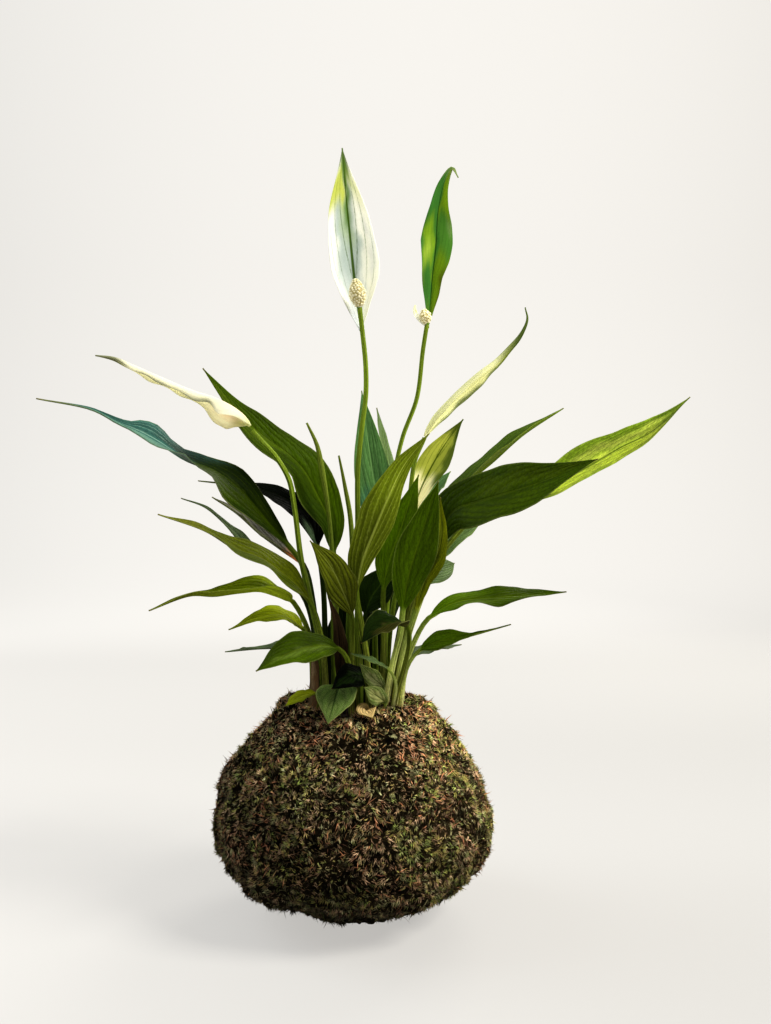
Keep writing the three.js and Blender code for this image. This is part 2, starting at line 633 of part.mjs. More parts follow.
// The small leaves round the foot of the plant, some of them old and dry
const footLeaves = [
  {
    name: "foot_leaf_heart", colour: "leaf_teal", neck: 2, width: 20, peak: 0.3,
    path: [[-7, -17, 88], [-6.5, -18, 105], [-6, -23, 116], [-7, -31, 114], [-10.5, -42, 101.5]],
    faces: [[-0.1, -0.8, 0.5]],
    fold: [6], wave: 0.4, waves: 1, phase: 0, stem: [1.3, 1], steps: 7,
  },
  {
    name: "foot_leaf_ochre", colour: "leaf_yellow", neck: 2, width: 9,
    path: [[-16, -16, 88], [-16, -16, 105], [-18, -17, 111], [-25, -19, 110], [-32, -22, 106]],
    faces: [[-0.2, -0.5, 0.9]],
    fold: [10], wave: 0.4, waves: 1, phase: 0, stem: [1.2, 0.9], steps: 7,
  },
  {
    name: "foot_leaf_curled", colour: "leaf_dark", neck: 2, width: 14,
    path: [[8, -17, 88], [8, -19, 106], [6.5, -26, 119.5], [0, -35, 122.5], [-9, -39, 117]],
    faces: [[-0.2, -0.9, 0.5]],
    fold: [6], wave: 0.4, waves: 1, phase: 0, stem: [1.3, 1], steps: 7,
  },
  {
    name: "foot_leaf_pale", colour: "leaf_yellow", neck: 2, width: 8,
    path: [[10.3, -21, 88], [12, -23, 106], [15, -27, 115], [10, -31, 121], [4, -35, 128]],
    faces: [[-0.4, -0.7, 0.5]],
    fold: [10], wave: 0.3, waves: 1, phase: 0, stem: [1.1, 0.8], steps: 7,
  },
  {
    name: "foot_leaf_tan", colour: "leaf_dry", neck: 2, width: 9,
    path: [[13.8, -21, 88], [15, -23, 102], [16, -27, 108], [11, -31, 113], [6, -34, 117]],
    faces: [[-0.5, -0.7, 0.5]],
    fold: [8], wave: 0.4, waves: 1, phase: 0, stem: [1.1, 0.8], steps: 7,
  },
  {
    name: "foot_leaf_dry", colour: "leaf_dry", neck: 1, width: 8,
    path: [[7, -23, 88], [7, -27, 104], [7, -31, 106], [10, -36, 103]],
    faces: [[0.2, -0.8, 0.5]],
    fold: [14], wave: 0.4, waves: 1, phase: 0, stem: [1.1, 0.8], steps: 7,
  },
  {
    name: "foot_leaf_slim", colour: "leaf_teal", neck: 3, width: 4,
    path: [[17.2, -20.3, 88], [19.2, -21.6, 104], [21, -27.5, 117], [17, -34, 126], [8, -39, 131],
      [0, -42, 134]],
    faces: [[-0.4, -0.5, 0.7]],
    fold: [14], wave: 0.2, waves: 2, phase: 0, stem: [1.1, 0.7], steps: 7,
  },
  {
    name: "old_sheath", colour: "leaf_dry", neck: 1, width: 8, peak: 0.3,
    path: [[-21, -12, 88], [-20.5, -12, 100], [-19.5, -12, 118], [-19, -12.5, 136]],
    faces: [[0.6, 0.4, 0]],
    roll: [120, 100], wave: 0.4, waves: 2, phase: 0, stem: [1.6, 1.6], steps: 7,
  },
];

// Young leaves that are still rolled up
const shoots = [
  {
    name: "leaf_spear_left", colour: "stalk_green", radii: [1.6, 1.4, 1.3, 1.2, 1.2, 1.1, 1.5, 0.5],
    path: [[-8.5, -0.5, 88], [-10, -3, 129], [-10, -6, 160], [-10.5, -10, 182], [-12, -13, 200],
      [-15, -17, 220], [-17, -19, 231], [-22, -20, 242]],
  },
  {
    name: "leaf_spear_middle", colour: "stalk_green", radii: [1.5, 1.3, 1.2, 1.2, 1.3, 1.2, 0.5],
    path: [[-3, 8, 88], [-3, 9, 144], [-1, 10, 174], [-2, 10, 196], [-5, 11, 213], [-8, 12, 228]],
  },
  {
    name: "leaf_spear_low", colour: "stalk_green", radii: [1.2, 1.1, 1.4, 0.4],
    path: [[4.5, -14, 88], [4, -15, 112], [4, -16, 126], [3, -17, 139]],
  },
];

// Flower stalks, each ending where its spathe and spadix begin
const stalks = [
  {
    name: "flower_tall_stalk", colour: "stalk_green", radii: [1.8, 1.5, 1.3, 1.2],
    path: [[1, 4, 88], [2, 4, 154], [2, 4, 195], [2, 4, 220], [4, 4, 241], [6, 4, 258], [6, 3, 273],
      [4, 2, 293], [3, 1, 302]],
  },
  {
    name: "flower_green_stalk", colour: "stalk_green", radii: [1.7, 1.3, 1.1, 1.1],
    path: [[12, 1, 88], [11, 6, 154], [17, 9, 195], [21, 10, 221], [25, 10, 238], [32, 8, 257],
      [35, 6, 281], [37, 5, 294]],
  },
  {
    name: "flower_left_stalk", colour: "stalk_green", radii: [1.8, 1.5, 1.3, 1.2],
    path: [[-14.5, -3.5, 88], [-16, -8, 131], [-21, -12, 156], [-25, -16, 176], [-28, -20, 202],
      [-30.5, -22, 215], [-37, -22, 226], [-43, -22, 232.5], [-48, -22, 238]],
  },
  {
    name: "flower_right_stalk", colour: "stalk_green", radii: [1.7, 1.4, 1.2, 1.1],
    path: [[15, -4, 88], [17, 3, 154], [23, 8, 185], [28, 10, 205], [31, 10, 225], [36, 10, 237]],
  },
  {
    name: "flower_young_stalk", colour: "stalk_green", radii: [1.7, 1.4, 1.2, 1.2],
    path: [[15, 8, 88], [19, 14, 143], [25, 18, 174], [29, 22, 195]],
  },
];

// Spathes. Their paths follow the midrib, from the stalk to the tip.
const spathes = [
  {
    name: "flower_tall_spathe", colour: "spathe_white", width: 28, columns: 7, peak: 0.38,
    path: [[3.5, 4.5, 291], [2, 8, 301], [0, 10, 318], [-2, 10, 338], [-4.5, 9, 364], [-6, 6, 384]],
    faces: [[0.1, -1, 0.1]], roll: [70, 45, 30, 40],
    wave: 0.8, waves: 2, phase: 1,
  },
  {
    name: "flower_green_spathe", colour: "spathe_green", width: 17, columns: 5, peak: 0.5,
    path: [[37.4, 7.4, 293], [38, 8.7, 297], [39, 10, 306], [40, 10, 318], [42, 10, 336], [43, 9, 353],
      [46, 8, 367], [50, 7, 374], [53, 6, 369]],
    faces: [[0.2, -1, 0]], fold: [14],
    wave: 0.8, waves: 3, phase: 0, fullness: [1, 1, 1, 0.85, 0.7],
  },
  {
    name: "flower_left_spathe", colour: "spathe_cream", width: 26, columns: 7, peak: 0.22,
    path: [[-49.2, -21.5, 240.3], [-53, -21, 245], [-57.5, -20.5, 248.5], [-66, -20, 253],
      [-78, -20.5, 257], [-92.5, -22, 263.3], [-104.5, -23, 268.6], [-113, -23, 272.5], [-123, -23, 274]],
    faces: [[-0.2, -0.5, -0.8]], roll: [95, 105, 115, 135, 150, 150, 150, 150, 150, 140, 120],
    wave: 0.9, waves: 5, phase: 0, fullness: [1.1, 1.2, 0.95, 0.6, 0.4, 0.42, 0.5, 0.55, 0.6, 0.8, 1],
  },
  {
    name: "flower_right_spathe", colour: "spathe_cream", width: 17, columns: 7, peak: 0.3,
    path: [[36.3, 10, 237.7], [41, 10, 247], [48, 10, 255], [56, 10, 263], [64, 9, 270], [72, 9, 276],
      [79, 8, 283], [85, 7, 290], [88, 6, 297], [87, 6, 303]],
    faces: [[0.65, -0.35, -0.65]], roll: [90, 80, 90, 110],
    wave: 0.4, waves: 2, phase: 0, fullness: [1, 1, 0.9, 0.8, 0.9],
  },
  {
    name: "flower_young_spathe", colour: "spathe_cream", width: 16, columns: 5, peak: 0.45,
    path: [[29.2, 22.2, 195.7], [35, 25, 212], [42, 26, 226], [49, 26, 237], [57, 25, 248]],
    faces: [[-0.3, -0.9, 0.2]], roll: [70, 40, 30],
    wave: 0.6, waves: 2, phase: 0,
  },
];

// Spadices: where they stand, which way they point, and how big they are
const spadices = [
  {
    name: "flower_tall_spadix", at: [2.8, 0.8, 302.6], points: [-0.15, -0.2, 1],
    length: 13.5, radius: 4.4, sides: 16, rows: 11,
  },
  {
    name: "flower_green_spadix", at: [37, 4.7, 294.8], points: [-0.25, -0.25, 1],
    length: 7, radius: 3, sides: 12, rows: 7,
  },
];

// A blunt club covered with small round flowers, set in staggered rows
function spadixGeometry({ at, points, length, radius, sides, rows }) {
  const profile = [[0, 0]];
  for (let i = 0; i <= rows; i++) {
    const share = i / rows;
    const envelope = Math.sin(Math.PI * mix(0.16, 0.9, share)) ** 0.55;
    profile.push([radius * envelope, length * mix(0.02, 0.97, share), i]);
  }
  profile.push([0, length]);
  const geometry = turned(profile, sides, ([reach, z, row], angle) => {
    const around = Math.cos((angle * sides) / 2 + (Math.floor(row / 2) % 2) * Math.PI);
    const bump = reach > 0 ? 1 + 0.07 * around * (row % 2 === 0 ? 1 : 0.4) : 0;
    return [reach * bump * Math.cos(angle), reach * bump * Math.sin(angle), z];
  });
  const turn = new THREE.Quaternion().setFromUnitVectors(upright, vec(points).normalize());
  return geometry.applyQuaternion(turn).translate(...at);
}

const kokedama = new THREE.Group();

function add(name, geometry, colour) {
  const finish = colour.startsWith("leaf") ? 0.45 : 0.7;
  const look = { color: colours[colour], roughness: finish, metalness: 0 };
  const material = new THREE.MeshStandardMaterial(look);
  const mesh = new THREE.Mesh(geometry, material);
  mesh.name = name;
  kokedama.add(mesh);
}

for (const leaf of [...leaves, ...footLeaves]) add(leaf.name, leafGeometry(leaf), leaf.colour);
for (const shoot of [...shoots, ...stalks]) add(shoot.name, shootGeometry(shoot), shoot.colour);
for (const spathe of spathes) {
  add(spathe.name, leafGeometry({ ...spathe, neck: 0, stem: [spatheBase, spatheBase] }), spathe.colour);
}
for (const spadix of spadices) add(spadix.name, spadixGeometry(spadix), "spadix");

const stems = [
  ...[...leaves, ...footLeaves].map(leafSections),
  ...[...shoots, ...stalks].map(shootSections),
];
const soil = body(soilBody()).subtract(crownAndRoots(gap)).subtract(joined(stems.map(stemHole)));
add("soil_ball", fromBody(soil), "soil");
add("crown_and_roots", fromBody(crownAndRoots(0)), "root");
add("moss_cover", mossCover(), "moss");

export default kokedama;
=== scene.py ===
import json
import math

import bpy
import numpy as np
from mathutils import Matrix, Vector

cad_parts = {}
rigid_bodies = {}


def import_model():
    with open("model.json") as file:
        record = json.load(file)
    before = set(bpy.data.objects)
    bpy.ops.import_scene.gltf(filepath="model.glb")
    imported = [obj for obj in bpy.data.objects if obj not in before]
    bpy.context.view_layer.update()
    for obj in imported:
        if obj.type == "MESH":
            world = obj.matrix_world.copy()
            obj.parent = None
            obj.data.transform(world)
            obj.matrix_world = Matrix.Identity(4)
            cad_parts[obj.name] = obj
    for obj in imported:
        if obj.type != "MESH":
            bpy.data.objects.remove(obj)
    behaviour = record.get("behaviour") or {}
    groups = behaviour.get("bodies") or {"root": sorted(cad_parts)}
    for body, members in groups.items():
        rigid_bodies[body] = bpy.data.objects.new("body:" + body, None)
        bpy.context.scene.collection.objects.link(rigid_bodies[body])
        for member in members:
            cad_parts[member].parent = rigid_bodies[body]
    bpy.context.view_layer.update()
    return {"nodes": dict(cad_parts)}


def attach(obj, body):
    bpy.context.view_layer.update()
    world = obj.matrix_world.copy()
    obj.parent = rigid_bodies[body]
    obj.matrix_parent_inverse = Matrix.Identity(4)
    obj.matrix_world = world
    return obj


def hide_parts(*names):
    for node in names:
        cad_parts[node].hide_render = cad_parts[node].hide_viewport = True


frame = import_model()
scene = bpy.context.scene


# Shared help with curves and meshes

pathSteps = 24


def blendOf(low, high, value):
    share = np.clip((value - low) / (high - low), 0, 1)
    return share * share * (3 - 2 * share)


def mixed(a, b, share):
    return np.asarray(a) * (1 - share) + np.asarray(b) * share


def unit(vectors):
    return vectors / np.maximum(np.linalg.norm(vectors, axis=-1, keepdims=True), 1e-9)


def along(values, share):
    return np.interp(share, np.linspace(0, 1, len(values)), values)


def fullTurn(sides):
    return np.linspace(0, 2 * np.pi, sides, endpoint=False)


def bulge(angle, middle, width):
    away = np.arctan2(np.sin(angle - middle), np.cos(angle - middle))
    return np.exp(-((away / width) ** 2))


def smoothPath(points):
    p = np.array(points, float)
    ends = [2 * p[0] - p[1], *p, 2 * p[-1] - p[-2]]
    samples = []
    for i in range(len(p) - 1):
        a, b, c, d = ends[i:i + 4]
        left, middle, right = [np.sum((e - f) ** 2) ** 0.25 for e, f in ((a, b), (b, c), (c, d))]
        startSlope = ((b - a) / left - (c - a) / (left + middle) + (c - b) / middle) * middle
        endSlope = ((c - b) / middle - (d - b) / (middle + right) + (d - c) / right) * middle
        square = 3 * (c - b) - 2 * startSlope - endSlope
        cube = 2 * (b - c) + startSlope + endSlope
        for w in np.arange(pathSteps) / pathSteps:
            samples.append(b + startSlope * w + square * w ** 2 + cube * w ** 3)
    samples.append(p[-1])
    return np.array(samples)


class Route:
    def __init__(self, points):
        self.samples = smoothPath(points)
        steps = np.linalg.norm(np.diff(self.samples, axis=0), axis=1)
        self.lengths = np.concatenate([[0], np.cumsum(steps)])
        self.total = self.lengths[-1]

    def at(self, length):
        return np.stack([np.interp(length, self.lengths, self.samples[:, k]) for k in range(3)], -1)

    def heading(self, length):
        ahead = self.at(np.minimum(length + 0.5, self.total))
        return unit(ahead - self.at(np.maximum(length - 0.5, 0)))


def squareTo(direction, tangent):
    return unit(direction - np.sum(direction * tangent, -1, keepdims=True) * tangent)


def roundRings(centres, sides, ups, turn, radius):
    return centres + sides * (np.cos(turn) * radius)[..., None] + ups * (np.sin(turn) * radius)[..., None]


def lathed(rows, sides, squeeze=1.0):
    turn = fullTurn(sides)
    return np.array([[(r * math.cos(t), r * squeeze * math.sin(t), z) for t in turn] for r, z in rows])


def ringFaces(rings, closedAt=(True, True)):
    count = rings.shape[1]
    faces = []
    for i in range(len(rings) - 1):
        for j in range(count):
            k = (j + 1) % count
            faces.append((i * count + j, i * count + k, (i + 1) * count + k, (i + 1) * count + j))
    if closedAt[0]:
        faces.append(tuple(range(count))[::-1])
    if closedAt[1]:
        faces.append(tuple(range((len(rings) - 1) * count, len(rings) * count)))
    return faces


def makePiece(name, points, faces, attributes, material, slotName, replaced=()):
    mesh = bpy.data.meshes.new(name)
    mesh.from_pydata((points.reshape(-1, 3) / 1000).tolist(), [], faces)
    mesh.polygons.foreach_set("use_smooth", [True] * len(mesh.polygons))
    for key, values in attributes.items():
        values = np.asarray(values, np.float32)
        isColour = values.shape[-1] == 4
        layer = mesh.attributes.new(key, "FLOAT_COLOR" if isColour else "FLOAT", "POINT")
        layer.data.foreach_set("color" if isColour else "value", values.ravel())
    mesh.materials.append(material)
    piece = bpy.data.objects.new(name, mesh)
    scene.collection.objects.link(piece)
    if slotName:
        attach(piece, "root")
    if replaced:
        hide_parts(*replaced)
    return piece


# Shared help with node trees

def addNode(tree, kind, inputs=None, **settings):
    node = tree.nodes.new(kind)
    for key, value in settings.items():
        setattr(node, key, value)
    for key, value in (inputs or {}).items():
        if isinstance(value, bpy.types.NodeSocket):
            tree.links.new(value, node.inputs[key])
        else:
            node.inputs[key].default_value = value
    return node


def calc(tree, operation, *values):
    return addNode(tree, "ShaderNodeMath", dict(enumerate(values)), operation=operation).outputs[0]


def product(tree, first, *others):
    for other in others:
        first = calc(tree, "MULTIPLY", first, other)
    return first


def vectorCalc(tree, operation, *values):
    return addNode(tree, "ShaderNodeVectorMath", dict(enumerate(values)), operation=operation).outputs[0]


def times(tree, colour, *factors):
    for factor in factors:
        colour = vectorCalc(tree, "MULTIPLY", colour, factor)
    return colour


def ranged(tree, value, low, high, toLow=0.0, toHigh=1.0):
    inputs = {"Value": value, "From Min": low, "From Max": high, "To Min": toLow, "To Max": toHigh}
    return addNode(tree, "ShaderNodeMapRange", inputs, interpolation_type="SMOOTHSTEP").outputs[0]


def colourMix(tree, share, a, b):
    a, b = [(*c, 1) if isinstance(c, tuple) else c for c in (a, b)]
    return addNode(tree, "ShaderNodeMix", {0: share, 6: a, 7: b}, data_type="RGBA").outputs[2]


def noise(tree, scale, detail, output="Fac", **more):
    return addNode(tree, "ShaderNodeTexNoise", {"Scale": scale, "Detail": detail, **more}).outputs[output]


def attribute(tree, name, output="Fac"):
    return addNode(tree, "ShaderNodeAttribute", attribute_name=name).outputs[output]


def objectSpot(tree):
    spot = addNode(tree, "ShaderNodeTexCoord").outputs["Object"]
    return addNode(tree, "ShaderNodeSeparateXYZ", {"Vector": spot}).outputs


def bumpFrom(tree, height, strength, distance=0.001):
    inputs = {"Height": height, "Strength": strength, "Distance": distance}
    return addNode(tree, "ShaderNodeBump", inputs).outputs[0]


def principled(tree, colour, rough, gloss=0.5, **more):
    inputs = {"Base Color": colour, "Roughness": rough, "Specular IOR Level": gloss, **more}
    return addNode(tree, "ShaderNodeBsdfPrincipled", inputs).outputs[0]


def newMaterial(name):
    material = bpy.data.materials.new(name)
    material.use_nodes = True
    material.node_tree.nodes.clear()
    return material, material.node_tree


def finishMaterial(tree, shader):
    addNode(tree, "ShaderNodeOutputMaterial", {"Surface": shader})


# Grown pieces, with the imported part's own paths from root to tip, widths, facings, folds and rolls

usualBlade = {
    "neck": 3, "wave": 0.6, "waves": 2, "phase": 0, "peak": 0.42, "stem": [0.9, 0.9], "fullness": [1],
}
leaves = {
    "leaf_far_left": dict(
        path=[[-14.5, 2, 88], [-16, 0, 130], [-21, -3, 153], [-26, -5, 174], [-31, -6, 181],
        [-45, -11, 199], [-54, -15, 210], [-65, -18, 219], [-78, -22, 225], [-94, -27, 235],
        [-109, -32, 241], [-121, -37, 247], [-144, -44, 251]],
        width=24, neck=4,
        faces=[[0.4, -0.8, 0.4], [0.4, -0.7, 0.6], [0.3, -0.1, 0.9], [0.3, -0.8, 0.5], [0, -0.2, 1]],
        fold=[16], wave=0.8, waves=2.5, peak=0.36, stem=[2, 1.3],
        fullness=[0.8, 0.75, 0.7, 0.75, 0.5, 1, 1.1, 0.25, 0.1, 0.25, 0.4]),
    "leaf_left_tall": dict(
        path=[[-9, 6, 88], [-10, 6, 130], [-9, 3, 155], [-10, -1, 177], [-11, -3, 193], [-17, -6, 207],
        [-24, -8, 220], [-33, -10, 229], [-43, -11, 236], [-55, -13, 247], [-73, -15, 269]],
        width=24, faces=[[0.5, -0.8, 0.3], [0.4, -0.8, 0.4]], fold=[12], wave=1, waves=2.5, phase=1,
        peak=0.34, stem=[2, 1.4], fullness=[1, 1, 0.93, 0.93, 1]),
    "leaf_left_shaded": dict(
        path=[[-14.5, 8, 88], [-15, 11, 128], [-16, 13, 159], [-19, 16, 180], [-22, 18, 192],
        [-29, 22, 202], [-39, 26, 208], [-57, 34, 213], [-86, 42, 216]],
        width=18, faces=[[0.4, -0.7, 0.5], [0.1, -0.6, 0.8], [0, 0, 1]], fold=[14], wave=0.8, waves=2.5,
        phase=2, peak=0.3, stem=[1.9, 1.3], fullness=[1, 1.1, 1, 0.7, 0.4, 0.3, 0.3]),
    "leaf_left_mauve": dict(
        path=[[-20, 5, 88], [-19, 6, 129], [-21, 8, 154], [-26, 11, 172], [-36, 15, 180], [-49, 20, 189],
        [-62, 26, 199], [-77, 34, 207]],
        width=16, faces=[[0.4, -0.2, 0.8], [0.2, 0, 1]], fold=[16], wave=0.8, phase=0.6, stem=[1.9, 1.2]),
    "leaf_left_thin": dict(
        path=[[-20, 11, 88], [-20, 15, 128], [-26, 20, 153], [-38, 30, 165], [-49, 40, 173],
        [-61, 50, 182], [-73, 60, 192], [-87, 70, 202], [-103, 80, 207]],
        width=8, faces=[[0.3, -0.1, 1]], fold=[10], wave=0.8, stem=[1.8, 1.1]),
    "leaf_left_olive": dict(
        path=[[-13, -9, 88], [-14, -14, 127], [-16, -17, 142], [-20, -20, 155], [-25, -23, 163],
        [-33, -27, 171], [-42, -32, 178], [-52, -37, 182], [-66, -45, 191], [-86, -54, 198]],
        width=18, faces=[[0.4, -0.5, 0.7], [0.2, -0.3, 0.9]], fold=[12], wave=0.8, waves=3, phase=2,
        peak=0.36, stem=[2, 1.3], fullness=[1, 1.15, 1, 0.8, 0.7, 0.7]),
    "leaf_left_level": dict(
        path=[[-20, -5, 88], [-19, -7, 126], [-23, -10, 143], [-29, -14, 155], [-34, -18, 160],
        [-43, -23, 164], [-53, -28, 163], [-64, -33, 161], [-75, -38, 161], [-92, -46, 154]],
        width=22, faces=[[0, -0.25, 1], [0, -0.15, 1], [0, -0.1, 1]], fold=[30, 30, 24], wave=1,
        waves=1.5, phase=1.5, peak=0.3, stem=[1.9, 1.2], fullness=[1, 1.1, 0.8, 0.5, 0.4, 0.45, 0.5]),
    "leaf_left_yellow": dict(
        path=[[-20, 0, 88], [-21, -1, 125], [-22, -2, 135], [-25, -5, 141], [-30, -7, 146],
        [-36, -10, 149], [-45, -13, 148], [-60, -18, 142]],
        width=15, faces=[[0, -0.45, 0.9]], fold=[10], waves=1.5, peak=0.34, stem=[1.9, 1.1],
        fullness=[1, 1, 0.75, 0.7]),
    "leaf_back_grey": dict(
        path=[[-19, 17, 88], [-19, 23, 117], [-27, 34, 124], [-39, 48, 125], [-54, 62, 123],
        [-78, 84, 117]],
        width=17, neck=2, faces=[[0, -0.1, 1]], fold=[8], wave=0.8, stem=[1.9, 1.2]),
    "leaf_front_left": dict(
        path=[[0, -15, 88], [-1, -22, 118], [-2, -28, 129], [-6, -34, 135], [-15, -43, 138],
        [-27, -52, 136], [-41, -62, 129]],
        width=20, faces=[[-0.1, -0.75, 0.65], [-0.2, -0.7, 0.7]], fold=[10], wave=0.5, waves=1.5,
        stem=[1.8, 1.1]),
    "leaf_front_olive": dict(
        path=[[8, -10, 88], [7, -16, 127], [4, -20, 147], [2, -23, 161], [4, -27, 175], [10, -31, 191],
        [16, -35, 205], [24, -39, 221], [36, -44, 235]],
        width=19, faces=[[-0.3, 0.9, 0.3], [-0.4, 0.8, 0.5]], fold=[12], stem=[1.9, 1.4]),
    "leaf_front_short": dict(
        path=[[1, -9, 88], [0, -16, 127], [0, -22, 140], [0, -28, 150], [-4, -36, 163], [-9, -43, 174],
        [-18, -51, 186]],
        width=16, faces=[[0.2, -0.9, 0.3]], fold=[8], phase=1, stem=[1.7, 1.2]),
    "leaf_back_teal": dict(
        path=[[5, 11, 88], [6, 12, 128], [11, 15, 153], [13, 18, 174], [12, 24, 200], [8, 32, 227],
        [3, 42, 265]],
        width=20, faces=[[-0.2, -0.9, 0.2]], fold=[12], stem=[1.9, 1.3]),
    "leaf_back_pale": dict(
        path=[[10, 16, 88], [15, 22, 132], [21, 32, 163], [22, 42, 189], [19, 54, 217], [15, 64, 239],
        [11, 74, 259]],
        width=15, faces=[[0.8, -0.5, 0.2]], fold=[12], stem=[1.9, 1.2]),
    "leaf_centre_bright": dict(
        path=[[12.3, -10, 88], [15, -11, 131], [15, -13, 149], [15, -14, 161], [18, -15, 176],
        [24, -17, 193], [32, -20, 217]],
        width=17, faces=[[-0.3, -0.9, 0.2]], fold=[10], wave=0.8, stem=[1.8, 1.3]),
    "leaf_front_right": dict(
        path=[[13, -16, 88], [20, -26, 129], [23, -30, 141], [24, -33, 152], [27, -38, 170],
        [33, -43, 190], [40, -50, 213]],
        width=19, faces=[[0.1, -0.95, 0.2]], fold=[8], stem=[1.8, 1.4]),
    "leaf_right_narrow": dict(
        path=[[18, -10, 88], [25, -15, 132], [30.5, -18, 151], [35, -22, 166], [42, -25, 183],
        [42, -30, 206]],
        width=10, neck=2, faces=[[0.5, -0.8, 0]], fold=[12], wave=0.4, stem=[1.9, 1.4]),
    "leaf_right_broad": dict(
        path=[[19, -4, 88], [25.5, -5, 131], [35, -10, 161], [42, -15, 182], [45, -19, 195],
        [50, -22, 201], [60, -27, 204.5], [73, -34, 208.5], [87, -40, 213], [112, -50, 223]],
        width=32, faces=[[-0.4, -0.8, 0.5], [-0.2, -0.8, 0.6], [-0.1, -0.7, 0.7]], fold=[8], wave=0.8,
        stem=[2, 1.4]),
    "leaf_right_far": dict(
        path=[[22, 1, 88], [25.5, 4, 129], [31, 6, 153], [39.5, 9, 170], [60, 15, 195], [75, 19, 204],
        [90, 22, 209], [103, 25, 215], [122, 30, 224], [142, 36, 235], [159, 40, 243], [183, 46, 262]],
        width=26, neck=5, faces=[[-0.35, 0.7, 0.6]], fold=[10], wave=1, waves=2.5, stem=[2, 1.3]),
    "leaf_right_up": dict(
        path=[[19, 5, 88], [24.5, 9, 134], [34, 12, 174], [42, 15, 201], [56, 20, 215], [71, 25, 227],
        [88, 30, 241], [112, 37, 255]],
        width=18, faces=[[-0.5, -0.2, 0.85]], fold=[24], stem=[2, 1.3]),
    "leaf_back_right_teal": dict(
        path=[[14.5, 15.5, 88], [22.5, 21, 132], [30, 30, 173], [33, 40, 196], [41, 52, 211],
        [53, 66, 222]],
        width=16, faces=[[-0.3, -0.5, 0.8]], fold=[12], stem=[1.9, 1.2]),
    "leaf_right_low": dict(
        path=[[22.3, -9, 88], [25.5, -10, 121], [30.5, -10, 136], [37, -13, 147], [50, -18, 155.5],
        [68, -25, 158.5], [84, -31, 160], [100, -38, 162]],
        width=17, faces=[[0, -0.4, 0.9]], fold=[8], wave=1.2, waves=2.5, stem=[1.9, 1.2]),
    "leaf_right_lowest": dict(
        path=[[22, -15, 88], [24.5, -20, 116], [27, -23, 126], [32, -26, 133], [40, -30, 138],
        [52, -36, 141], [73, -48, 148]],
        width=11, faces=[[-0.2, -0.5, 0.8]], fold=[10], wave=0.4, waves=1.5, peak=0.26, stem=[1.7, 0.9],
        fullness=[1, 1.1, 0.9, 0.45, 0.25, 0.3]),
    "leaf_back_right_low": dict(
        path=[[23.8, 7, 88], [25.5, 19.5, 114], [28, 32, 121], [36, 46, 123], [46, 60, 123],
        [60, 78, 122]],
        width=15, neck=2, faces=[[0, -0.15, 1]], fold=[10], stem=[1.8, 1.1]),
    "leaf_back_right_grey": dict(
        path=[[18, 10.5, 88], [23.7, 15, 120], [30, 20, 145], [37, 28, 167], [47, 38, 181],
        [59, 50, 190.5], [76, 66, 201]],
        width=17, faces=[[-0.3, -0.8, 0.5]], fold=[12], stem=[1.8, 1.2]),
    "leaf_back_blunt": dict(
        path=[[6, 20, 88], [16, 30, 130], [24, 46, 151], [33, 62, 161], [45, 76, 166], [57, 92, 168.5]],
        width=19, neck=2, faces=[[0.4, -0.6, 0.6]], fold=[10], waves=1.5, peak=0.6, stem=[1.8, 1.2],
        fullness=[0.4, 0.6, 0.8, 1, 1.15, 1.5]),
    "leaf_centre_dark": dict(
        path=[[6, -4, 88], [6, -5, 135], [6, -6, 148], [9, -6, 157], [14, -6, 164], [20, -6, 174]],
        width=19, neck=2, faces=[[-0.3, -0.9, 0.3]], fold=[8], wave=0.5, waves=1.5, stem=[1.6, 1.1]),
    "leaf_front_droop": dict(
        path=[[17.5, -15, 88], [20.5, -18, 108], [24.5, -29, 124], [27, -37, 138], [26, -43, 147],
        [20, -48, 150], [12, -51, 147], [5, -53, 140]],
        width=17, neck=4, faces=[[-0.5, -0.4, 0.8], [-0.3, -0.8, 0.6]], fold=[22], wave=0.8, waves=1.5,
        stem=[1.6, 1.1]),
    "leaf_low_left": dict(
        path=[[-11, 18, 88], [-11, 19, 104], [-9, 20, 122], [-7, 21, 140], [-6, 22, 158]],
        width=18, neck=1, faces=[[-0.1, -0.9, 0.2]], fold=[10], waves=1.5, stem=[1.8, 1.3]),
    "leaf_low_middle": dict(
        path=[[-1, 16, 88], [1, 16, 102], [5, 16, 118], [8, 17.5, 136], [9, 19, 152]],
        width=17, neck=1, faces=[[0.1, -0.9, 0.2]], fold=[8], wave=0.4, waves=1.5, phase=1,
        stem=[1.8, 1.2]),
    "leaf_centre_brown": dict(
        path=[[-6, -11, 88], [-6.5, -12, 112], [-6, -13, 130], [-8, -14, 146], [-12, -15, 158]],
        width=8, neck=1, faces=[[0.3, -0.9, 0.2]], fold=[30], stem=[1.4, 1.2]),
}
